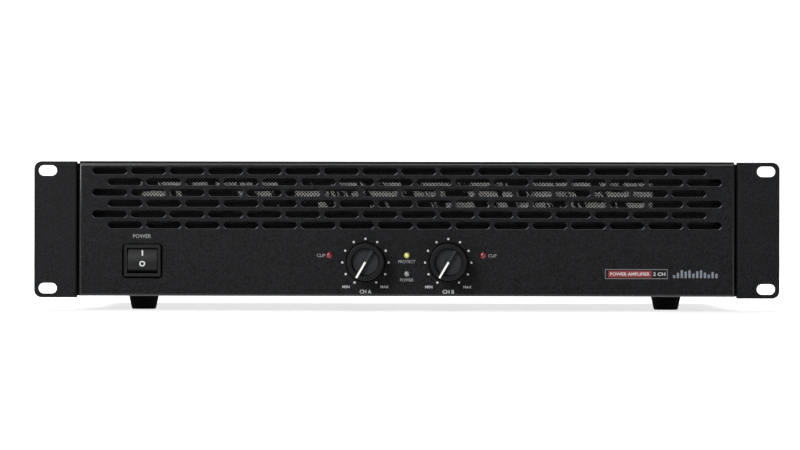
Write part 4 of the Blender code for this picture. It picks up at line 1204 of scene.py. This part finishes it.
class AMPLIFIER_OT_knobs(bpy.types.Operator):
    """Level knobs with dished fronts, grip bars and pointer lines"""

    bl_idname = "amplifier.knobs"
    bl_label = "Level knobs"

    def execute(self, context):
        for letter in ("a", "b"):
            x, y, z = JOINTS[f"level_{letter}_turn"]["pos_m"]
            place = Matrix.Translation((x, y, z)) @ TO_FRONT
            self.knob(letter, place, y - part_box(f"knob_{letter}")[0].y)
        return {"FINISHED"}

    def knob(self, letter, place, proud):
        rim = proud - 0.05 * MM
        dish = 12.8 * MM
        points = [(0, dish, 0), (8.5 * MM, dish, 0.3 * MM)]
        points += [(9.1 * MM, rim, 0.35 * MM), (12.0 * MM, rim, 0.6 * MM)]
        points += mm((12.1, 1.6, 0.1), (11.4, 1.6, 0.1), (11.2, 4.5, 0))
        points += mm((3.3, 4.5, 0), (3.3, 11, 0), (0, 11, 0))
        body = lathe(rounded(points, 4), 96, place)
        publish(f"level_knob_{letter}", body, "knob_plastic", f"level_{letter}", [f"knob_{letter}"])
        pointing = Matrix.Rotation(math.radians(150), 4, "Z")
        face = [(0, dish + 0.1 * MM, 0), (8.3 * MM, dish + 0.1 * MM, 0.1 * MM)]
        face += [(8.3 * MM, dish - 0.3 * MM, 0), (0, dish - 0.3 * MM, 0)]
        foot, crest = dish - 0.2 * MM, rim - 0.3 * MM
        ridge = [(-1.7 * MM, foot, 0), (1.5 * MM, foot, 0)]
        ridge += [(1.0 * MM, crest, 0.2 * MM), (-1.0 * MM, crest, 0.2 * MM)]
        bar = prism(rounded(ridge, 3), -8.6 * MM, 8.6 * MM, pointing @ TO_FRONT)
        shape = join(lathe(rounded(face, 4), 96), bar)
        bmesh.ops.transform(shape, matrix=place, verts=shape.verts)
        soften(shape, 0.12 * MM, 2, 50)
        publish(f"knob_grip_{letter}", shape, "knob_dish", f"level_{letter}")
        outline = rectangle(1.25 * MM, 11.8 * MM, 0.2 * MM, (0, 5.8 * MM))
        line = prism(outline, rim - 1.2 * MM, proud, place @ pointing)
        publish(f"pointer_{letter}", line, "pointer", f"level_{letter}")
        # Painted shade: a near-black ring under the knob stands in for the dark gap and contact shadow round it.
        skirt = mm((12.9, 1.3, 0.2), (12.9, 0.5, 0.2), (6, 0.5, 0), (6, 1.3, 0))
        publish(f"knob_skirt_{letter}", lathe(rounded(skirt, 3), 96, place), "skirt", f"level_{letter}")


class AMPLIFIER_OT_indicators(bpy.types.Operator):
    """Domed indicator lamps with their leads"""

    bl_idname = "amplifier.indicators"
    bl_label = "Indicators"

    def execute(self, context):
        lamps = (
            ("clip_led_a", "red_lens"),
            ("clip_led_b", "red_lens"),
            ("protect_led", "yellow_lens"),
            ("power_led", "clear_lens"),
        )
        for node, finish in lamps:
            x, z = middle(node)
            place = Matrix.Translation((x, FACE_Y, z)) @ TO_FRONT
            dome = LAMPS[node]
            profile = [(0, 1.2 * MM)]
            for index in range(1, 9):
                angle = math.radians(90 - index * 11.25)
                profile.append((dome * math.cos(angle), 1.5 * MM * math.sin(angle) - 0.3 * MM))
            profile += [(dome, -2.6 * MM), *mm((2.38, -2.6), (2.38, -3.6), (0, -3.6))]
            shapes = [lathe(profile, 32, place)]
            for side in (-1, 1):
                shapes.append(slab((side * 1.27 * MM, 0, -8.2 * MM), (0.5 * MM, 0.5 * MM, 9 * MM), place))
            publish(f"{node}_lens", merged(*shapes), finish, "chassis", [node])
        return {"FINISHED"}


# Print

def legend(name, words, x, z, width, height, rear=False, lift=0.02 * MM, finish="print"):
    """Raised print of the given overall width and height, centred on a place on the front or rear face."""
    curve = bpy.data.curves.new(name, "FONT")
    curve.body = words
    curve.resolution_u = 3
    curve.extrude = 0.5
    curve.offset = 0.01
    draft = bpy.data.objects.new(name, curve)
    bpy.context.scene.collection.objects.link(draft)
    mesh = settled(draft)
    corners = [vert.co for vert in mesh.vertices]
    low = Vector([min(point[axis] for point in corners) for axis in range(3)])
    high = Vector([max(point[axis] for point in corners) for axis in range(3)])
    scale = Matrix.Diagonal((width / (high.x - low.x), height / (high.y - low.y), 0.05 * MM, 1))
    face = REAR_Y + lift if rear else FACE_Y - lift
    turn = TO_REAR if rear else TO_FRONT
    mesh.transform(Matrix.Translation((x, face, z)) @ turn @ scale @ Matrix.Translation(-(low + high) / 2))
    shape = bmesh.new()
    shape.from_mesh(mesh)
    bmesh.ops.remove_doubles(shape, verts=shape.verts, dist=0.000001)
    publish(name, shape, finish, angle=30)


class AMPLIFIER_OT_front_print(bpy.types.Operator):
    """Front lettering, dial dots, badge and emblem"""

    bl_idname = "amplifier.front_print"
    bl_label = "Front print"

    def execute(self, context):
        words = (
            ("power", "POWER", -171.4, 38.7, 11.7, 2.5, "faint_print"),
            ("clip_a", "CLIP", -55.6, 26.4, 5.4, 2.0, "faint_print"),
            ("clip_b", "CLIP", 55.4, 26.4, 5.4, 2.0, "faint_print"),
            ("protect", "PROTECT", 0.0, 22.5, 11.1, 2.0, "faint_print"),
            ("power_lamp", "POWER", 0.0, 10.6, 8.7, 2.0, "faint_print"),
            ("channel_a", "CH A", -26.7, 3.0, 7.5, 2.45, "print"),
            ("channel_b", "CH B", 26.9, 3.0, 7.5, 2.45, "print"),
            ("min_a", "MIN", -39.4, 6.1, 4.6, 1.75, "print"),
            ("max_a", "MAX", -14.4, 6.1, 5.2, 1.75, "print"),
            ("min_b", "MIN", 14.2, 6.1, 4.6, 1.75, "print"),
            ("max_b", "MAX", 39.2, 6.1, 5.2, 1.75, "print"),
        )
        for name, text, x, z, width, height, finish in words:
            legend(f"print_{name}", text, x * MM, BOTTOM + z * MM, width * MM, height * MM, finish=finish)
        growth = dial_dots()
        for letter in ("a", "b"):
            x, _, z = JOINTS[f"level_{letter}_turn"]["pos_m"]
            mesh = growth.grow()
            mesh.transform(Matrix.Translation((x, FACE_Y - 0.03 * MM, z)) @ TO_FRONT)
            publish(f"dial_dots_{letter}", mesh, "print")
        self.badge()
        return {"FINISHED"}

    def badge(self):
        z = 14.7 * MM
        field_x = 144.4 * MM
        place = Matrix.Translation((0, FACE_Y - 0.005 * MM, BOTTOM)) @ TO_FRONT
        outer = prism(rectangle(40.4 * MM, 6.2 * MM, 0.2 * MM, (148.6 * MM, z)), 0, 0.05 * MM, place)
        inner = prism(rectangle(39.8 * MM, 5.6 * MM, 0.15 * MM, (148.6 * MM, z)), -MM, MM, place)
        publish("badge_outline", cut(outer, inner), "faint_print")
        field = prism(rectangle(28.2 * MM, 4.3 * MM, 0.2 * MM, (field_x, z)), 0, 0.04 * MM, place)
        publish("badge_field", field, "badge_field")
        legend("badge_words", "POWER AMPLIFIER", field_x, BOTTOM + z, 25.6 * MM, 2.1 * MM, lift=0.05 * MM)
        legend("badge_channels", "2 CH", 163.4 * MM, BOTTOM + z, 7.8 * MM, 2.2 * MM)
        bars = []
        heights = (2.0, 3.4, 5.1, 4.2, 5.1, 3.0, 4.4, 5.1, 3.6, 2.4, 4.0, 2.8)
        step = 29.9 * MM / len(heights)
        for index, height in enumerate(heights):
            x = 171.8 * MM + step * (index + 0.5)
            outline = rectangle(1.5 * MM, height * MM, 0.3 * MM, (x, z + (height - 5.1) * MM / 2))
            bars.append(prism(outline, 0, 0.05 * MM, place))
        publish("emblem_bars", merged(*bars), "emblem")


# Rear

class AMPLIFIER_OT_rear(bpy.types.Operator):
    """Sockets, mains inlet, fuse, mode switch and rear print"""

    bl_idname = "amplifier.rear"
    bl_label = "Rear sockets"

    def execute(self, context):
        for letter in ("a", "b"):
            self.output(letter)
            self.input(letter)
        self.inlet()
        self.fuse()
        self.mode()
        self.rear_print()
        return {"FINISHED"}

    def frame_at(self, node):
        x, z = middle(node)
        return Matrix.Translation((x, REAR_Y, z)) @ TO_REAR

    def flanged(self, place, well):
        flange = prism(rectangle(26 * MM, 31 * MM, 2.2 * MM), 0.3 * MM, 2.3 * MM, place)
        barrel = cylinder(11.7 * MM, -20.5 * MM, 1.5 * MM, place, 56)
        shape = cut(join(flange, barrel), lathe(well, 56, place))
        holes = []
        for side in (-1, 1):
            spot = place @ Matrix.Translation((-side * SOCKET_HOLE[0], side * SOCKET_HOLE[1], 0))
            holes.append(cylinder(1.6 * MM, -2 * MM, 8 * MM, spot, 20))
        return cut(shape, merged(*holes))

    def output(self, letter):
        node = f"output_socket_{letter}"
        place = self.frame_at(node)
        well = mm((0, 6, 0), (10.3, 6, 0), (10.3, -14, 0.6), (6.8, -14, 0.4), (6.8, 0.6, 0.5), (0, 0.6, 0))
        shape = self.flanged(place, rounded(well, 3))
        keys = []
        for turn in (40, 220):
            spot = place @ Matrix.Rotation(math.radians(turn), 4, "Z")
            keys.append(slab((10.6 * MM, 0, -2 * MM), (2.4 * MM, 4.2 * MM, 14 * MM), spot))
            keys.append(slab((4.0 * MM, 0, 0), (2.2 * MM, 1.2 * MM, 9 * MM), spot))
        shape = soften(cut(shape, merged(*keys)), 0.2 * MM, 2, 50)
        publish(f"output_shell_{letter}", shape, "black_moulding", "chassis", [node])

    def input(self, letter):
        node = f"input_socket_{letter}"
        place = self.frame_at(node)
        well = mm((0, 6, 0), (9.4, 6, 0), (9.4, -12, 0.4), (7.6, -12, 0.4), (7.6, 0.4, 0.4), (0, 0.4, 0))
        shape = self.flanged(place, rounded(well, 3))
        tools = [cuboid((-4.9 * MM, 9.9 * MM, -6.2 * MM), (4.9 * MM, 13.6 * MM, 6 * MM), place)]
        for index in range(3):
            angle = math.radians(90 + 120 * index)
            x, y = 4.4 * MM * math.cos(angle), 4.4 * MM * math.sin(angle) - 0.6 * MM
            tools.append(cylinder(1.4 * MM, -9 * MM, 6 * MM, place @ Matrix.Translation((x, y, 0)), 24))
        shape = soften(cut(shape, merged(*tools)), 0.2 * MM, 2, 50)
        publish(f"input_shell_{letter}", shape, "black_moulding", "chassis", [node])
        low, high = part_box(f"latch_tab_{letter}")
        tab = soften(cuboid(low, high), 0.5 * MM, 3)
        publish(f"latch_{letter}", tab, "plated_steel", f"latch_{letter}", [f"latch_tab_{letter}"])

    def inlet(self):
        place = self.frame_at("mains_inlet")
        flange = prism(rectangle(50 * MM, 27.5 * MM, 3 * MM), 0.3 * MM, 2.4 * MM, place)
        body = prism(rectangle(27.2 * MM, 20.2 * MM, 1 * MM), -19 * MM, 2 * MM, place)
        outline = mm((12.1, 8.3, 0.6), (-12.1, 8.3, 0.6), (-12.1, -4.6, 0.6))
        outline += mm((-8.6, -8.3, 0.6), (8.6, -8.3, 0.6), (12.1, -4.6, 0.6))
        well = prism(rounded(outline), -14 * MM, 6 * MM, place)
        holes = []
        for side in (-1, 1):
            spot = place @ Matrix.Translation((side * INLET_HOLE, 0, 0))
            holes.append(cylinder(1.8 * MM, -2 * MM, 8 * MM, spot, 20))
        shape = soften(cut(join(flange, body), well, merged(*holes)), 0.3 * MM, 2, 50)
        publish("inlet_shell", shape, "black_moulding", "chassis", ["mains_inlet"])
        pins = []
        for x, y in ((-7, -2.5), (7, -2.5), (0, 2.8)):
            pin = cuboid(*mm((x - 1, y - 2, -18), (x + 1, y + 2, 0)), place)
            pins.append(soften(pin, 0.5 * MM, 2))
            pins.append(cuboid(*mm((x - 0.4, y - 2.4, -26), (x + 0.4, y + 2.4, -18.5)), place))
        publish("inlet_pins", merged(*pins), "contact")

    def fuse(self):
        place = self.frame_at("fuse_cap")
        ring = mm((5.6, 2.4, 0.3), (8.6, 2.4, 0.5), (8.6, 0.3, 0))
        ring += mm((6.2, 0.3, 0), (6.2, -30, 0.5), (5.6, -30, 0))
        tube = lathe(rounded(ring, 3), 48, place)
        publish("fuse_tube", tube, "black_moulding", "chassis", ["fuse_holder"])
        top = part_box("fuse_cap")[1].y - REAR_Y
        cap = [(0, top, 0), (6.1 * MM, top, 0.5 * MM)]
        cap += mm((6.7, 2.7, 0.2), (5.2, 2.7, 0), (5.2, -8, 0), (0, -8, 0))
        grip_count = 18
        grips = []
        for index in range(grip_count):
            turn = Matrix.Rotation(math.tau * index / grip_count, 4, "Z")
            spot = place @ turn @ Matrix.Translation((6.9 * MM, 0, 0))
            grips.append(cylinder(0.45 * MM, 3.2 * MM, top + 2 * MM, spot, 8))
        coin_slot = slab((0, 0, top), (9 * MM, 1.4 * MM, 3 * MM), place)
        shape = cut(lathe(rounded(cap, 3), 72, place), merged(*grips), coin_slot)
        soften(shape, 0.12 * MM, 2, 50)
        publish("fuse_grip", shape, "black_moulding", "fuse_cap_body", ["fuse_cap"])

    def mode(self):
        low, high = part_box("mode_switch_slider")
        slider = cuboid(low, high)
        grooves = []
        for index in (-1, 0, 1):
            x = (low.x + high.x) / 2 + index * 1.2 * MM
            grooves.append(slab((x, high.y, (low.z + high.z) / 2), (0.45 * MM, 0.8 * MM, 6 * MM)))
        shape = soften(cut(slider, merged(*grooves)), 0.12 * MM, 2, 50)
        publish("mode_lever", shape, "switch_plastic", "mode_slider", ["mode_switch_slider"])

    def rear_print(self):
        words = (
            ("inlet", "AC INPUT", "mains_inlet", 15),
            ("fuse", "FUSE", "fuse_cap", 8),
            ("out_a", "OUTPUT A", "output_socket_a", 15),
            ("out_b", "OUTPUT B", "output_socket_b", 15),
            ("in_a", "INPUT A", "input_socket_a", 13),
            ("in_b", "INPUT B", "input_socket_b", 13),
            ("mode", "MODE", "mode_switch_body", 9),
        )
        line = middle("mains_inlet")[1] + 21.5 * MM
        for name, text, node, width in words:
            legend(f"rear_{name}", text, middle(node)[0], line, width * MM, 2.4 * MM, True)
        x, z = middle("mode_switch_body")
        for shift, text in ((-8, "STEREO"), (8, "BRIDGE")):
            legend(f"rear_{text.lower()}", text, x - shift * MM, z - 9 * MM, 7.6 * MM, 1.8 * MM, True)


class AMPLIFIER_OT_fan(bpy.types.Operator):
    """Wire guard and bladed rotor of the rear fan"""

    bl_idname = "amplifier.fan"
    bl_label = "Fan"

    def execute(self, context):
        x, z = middle("fan_guard")
        place = Matrix.Translation((x, REAR_Y, z)) @ TO_REAR
        wire, lift = 0.95 * MM, 2.5 * MM
        pieces = []
        for radius in (12 * MM, 20.5 * MM, 29 * MM, 37.5 * MM):
            pieces.append(lathe(circle(wire, (radius, lift), 10), 72, place))
        reach = FAN_HOLE * math.sqrt(2)
        for turn in (45, 135, 225, 315):
            spot = place @ Matrix.Rotation(math.radians(turn), 4, "Z")
            raised = spot @ Matrix.Translation((0, 0, lift - 1.2 * MM))
            along = raised @ Matrix.Rotation(math.radians(90), 4, "Y")
            pieces.append(cylinder(wire, 3 * MM, reach - 3.2 * MM, along, 10))
            eye = circle(wire, (3.1 * MM, 1.3 * MM), 8)
            pieces.append(lathe(eye, 24, spot @ Matrix.Translation((reach, 0, 0))))
        publish("wire_guard", merged(*pieces), "plated_steel", "chassis", ["fan_guard"], 60)
        self.rotor()
        return {"FINISHED"}

    def rotor(self):
        pivot = Vector(JOINTS["fan_spin"]["pos_m"])
        place = Matrix.Translation(pivot) @ TO_REAR
        hub = mm((0, 10.5, 0), (17, 10.5, 2), (17, -7.2, 0.4), (0, -7.2, 0))
        shapes = [lathe(rounded(hub, 5), 72, place)]
        blade_count = 7
        for index in range(blade_count):
            shapes.append(self.blade(place @ Matrix.Rotation(math.tau * index / blade_count, 4, "Z")))
        publish("fan_wheel", merged(*shapes), "black_moulding", "rotor", ["fan_rotor"], 50)

    def blade(self, place):
        """A curved, twisted blade from inside the hub to near the bore."""
        shape = bmesh.new()
        rows = []
        for step in range(7):
            radius = (16.4 + 20 * step / 6) * MM
            pitch = math.radians(46 - 16 * step / 6)
            row = []
            for along in range(9):
                reach = (along / 8 - 0.5) * 19 * MM
                camber = 1.6 * MM * (1 - (2 * along / 8 - 1) ** 2)
                turn = (reach * math.cos(pitch) - camber * math.sin(pitch)) / radius
                height = reach * math.sin(pitch) + camber * math.cos(pitch) + 1.2 * MM
                row.append(Vector((radius * math.cos(turn), radius * math.sin(turn), height)))
            rows.append(row)
        verts = [[shape.verts.new(point) for point in row] for row in rows]
        for upper, lower in zip(verts, verts[1:]):
            for index in range(8):
                shape.faces.new((upper[index], upper[index + 1], lower[index + 1], lower[index]))
        bmesh.ops.recalc_face_normals(shape, faces=shape.faces)
        bmesh.ops.solidify(shape, geom=shape.faces[:], thickness=1.2 * MM)
        bmesh.ops.recalc_face_normals(shape, faces=shape.faces)
        bmesh.ops.transform(shape, matrix=place, verts=shape.verts)
        return shape


class AMPLIFIER_OT_screws(bpy.types.Operator):
    """Case, socket, fan and foot screws"""

    bl_idname = "amplifier.screws"
    bl_label = "Screws"

    def execute(self, context):
        radius = sizes().screw_head
        back, down = (0, 1, 0), (0, 0, -1)
        case = []
        top, bottom = REAR[1].z - 5 * MM, REAR[0].z + 5 * MM
        for x in (-200, -105, -5, 95, 200):
            case.append(((x * MM, REAR_Y, top), back))
            case.append(((x * MM, REAR_Y, bottom), back))
        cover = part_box("top_cover")
        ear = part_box("rack_ear_right")
        for side in (-1, 1):
            for share in (0.26, 0.5, 0.74, 0.95):
                y = cover[0].y + (cover[1].y - cover[0].y) * share
                case.append(((side * cover[1].x, y, cover[0].z + 5.5 * MM), (side, 0, 0)))
            flange = abs(ear[0].x)
            for z in (18, 52, 86):
                for y in (16, 29):
                    case.append(((side * flange + side * 2 * MM, ear[0].y + y * MM, z * MM), (side, 0, 0)))
        screws("case_screws", case, radius, "black_steel")
        under = []
        for x in (-150, -50, 50, 150):
            for y in (FACE_Y + 20 * MM, REAR_Y - 20 * MM):
                under.append(((x * MM, y, BOTTOM + radius * 0.55), down))
        screws("floor_screws", under, radius, "black_steel")
        small = []
        for letter in ("a", "b"):
            for kind in ("input", "output"):
                x, z = middle(f"{kind}_socket_{letter}")
                for side in (-1, 1):
                    place = (x + side * SOCKET_HOLE[0], REAR_Y + 2.3 * MM, z + side * SOCKET_HOLE[1])
                    small.append((place, back))
        x, z = middle("mains_inlet")
        for side in (-1, 1):
            small.append(((x + side * INLET_HOLE, REAR_Y + 2.4 * MM, z), back))
        screws("socket_screws", small, 2.4 * MM, "black_steel")
        x, z = middle("fan_frame")
        fan = []
        for side in (-1, 1):
            for up in (-1, 1):
                fan.append(((x + side * FAN_HOLE, REAR_Y + 2.2 * MM, z + up * FAN_HOLE), back))
        screws("fan_screws", fan, 3.2 * MM, "plated_steel")
        feet = []
        for row in ("front", "rear"):
            for word in ("left", "right"):
                low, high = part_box(f"foot_{row}_{word}")
                feet.append((((low.x + high.x) / 2, (low.y + high.y) / 2, 4.9 * MM), down))
        screws("foot_screws", feet, 3.0 * MM, "plated_steel")
        return {"FINISHED"}


class AMPLIFIER_OT_inner_finishes(bpy.types.Operator):
    """Finishes for the pieces whose shape is already right"""

    bl_idname = "amplifier.inner_finishes"
    bl_label = "Inner finishes"

    def execute(self, context):
        slots = {row["node"]: row["material_slot"] for row in frame["record"]["subparts"]}
        for name, node in frame["nodes"].items():
            if node.hide_render:
                continue
            node.data.materials.clear()
            node.data.materials.append(finish_for(slots[name]))
        return {"FINISHED"}


class AMPLIFIER_OT_stage(bpy.types.Operator):
    """White floor and backdrop, soft lights and the camera"""

    bl_idname = "amplifier.stage"
    bl_label = "Stage"

    def execute(self, context):
        self.floor()
        self.lights(context.scene)
        self.camera(context.scene)
        return {"FINISHED"}

    def floor(self):
        half_width, height, sweep = 7.5, 4.5, 1.1
        outline = rounded([(-half_width, 0.0, 0), (half_width, 0.0, sweep), (half_width, height, 0)], 16)
        shape = bmesh.new()
        rows = [[shape.verts.new((x, y, z)) for y, z in outline] for x in (-half_width, half_width)]
        for index in range(len(outline) - 1):
            shape.faces.new((rows[0][index], rows[1][index], rows[1][index + 1], rows[0][index + 1]))
        mesh = bpy.data.meshes.new("stage_floor")
        shape.to_mesh(mesh)
        shape.free()
        mesh.shade_smooth()
        mesh.materials.append(finish_for("stage_white"))
        made = bpy.data.objects.new("stage_floor", mesh)
        bpy.context.scene.collection.objects.link(made)

    def lights(self, scene):
        world = bpy.data.worlds.new("studio")
        world.use_nodes = True
        sky = world.node_tree.nodes["Background"]
        sky.inputs["Color"].default_value = (0.82, 0.86, 0.92, 1)
        sky.inputs["Strength"].default_value = 0.08
        scene.world = world
        lamps = (
            ("key", (-1.15, -2.2, 1.2), 1.3, 1.0, 52.0),
            ("top", (-0.1, 0.0, 1.8), 2.4, 1.2, 18.0),
            ("fill", (1.7, -1.5, 0.7), 0.8, 0.8, 2.5),
            ("back", (0.3, 1.7, 1.9), 1.6, 0.9, 18.0),
        )
        for name, place, width, height, power in lamps:
            lamp = bpy.data.lights.new(name, "AREA")
            lamp.shape = "RECTANGLE"
            lamp.size = width
            lamp.size_y = height
            lamp.energy = power
            made = bpy.data.objects.new(name, lamp)
            made.location = place
            aim = Vector((0, 0, 0.05)) - Vector(place)
            made.rotation_euler = aim.to_track_quat("-Z", "Y").to_euler()
            scene.collection.objects.link(made)

    def camera(self, scene):
        distance = 3.0
        view_width = 0.5179
        camera = bpy.data.cameras.new("camera")
        camera.sensor_width = 36.0
        camera.lens = camera.sensor_width * distance / view_width
        made = bpy.data.objects.new("camera", camera)
        made.location = (-4.47 * MM, FACE_Y - distance, 55.2 * MM)
        made.rotation_euler = (math.radians(90), math.radians(-0.11), 0)
        scene.collection.objects.link(made)
        scene.camera = made
        scene.view_settings.view_transform = "Standard"


OPERATORS = (
    AMPLIFIER_OT_front_panel,
    AMPLIFIER_OT_case,
    AMPLIFIER_OT_rack_ears,
    AMPLIFIER_OT_feet,
    AMPLIFIER_OT_dust_screen,
    AMPLIFIER_OT_switch,
    AMPLIFIER_OT_knobs,
    AMPLIFIER_OT_indicators,
    AMPLIFIER_OT_front_print,
    AMPLIFIER_OT_rear,
    AMPLIFIER_OT_fan,
    AMPLIFIER_OT_screws,
    AMPLIFIER_OT_inner_finishes,
    AMPLIFIER_OT_stage,
)


class AMPLIFIER_PT_panel(bpy.types.Panel):
    """Sidebar list of the amplifier's builders"""

    bl_idname = "AMPLIFIER_PT_panel"
    bl_label = "Rack Amplifier"
    bl_space_type = "VIEW_3D"
    bl_region_type = "UI"
    bl_category = "Amplifier"

    def draw(self, context):
        for group in (context.scene.amplifier_sizes, context.scene.amplifier_colours):
            for name in group.bl_rna.properties.keys():
                if name not in ("rna_type", "name"):
                    self.layout.prop(group, name)
        for operator in OPERATORS:
            self.layout.operator(operator.bl_idname)


CLASSES = (AmplifierSizes, AmplifierColours, *OPERATORS, AMPLIFIER_PT_panel)


def register():
    for made in CLASSES:
        bpy.utils.register_class(made)
    bpy.types.Scene.amplifier_sizes = PointerProperty(type=AmplifierSizes)
    bpy.types.Scene.amplifier_colours = PointerProperty(type=AmplifierColours)


def unregister():
    del bpy.types.Scene.amplifier_colours
    del bpy.types.Scene.amplifier_sizes
    for made in reversed(CLASSES):
        bpy.utils.unregister_class(made)


def main():
    register()
    for operator in OPERATORS:
        group, name = operator.bl_idname.split(".")
        getattr(getattr(bpy.ops, group), name)()


if __name__ == "__main__":
    main()
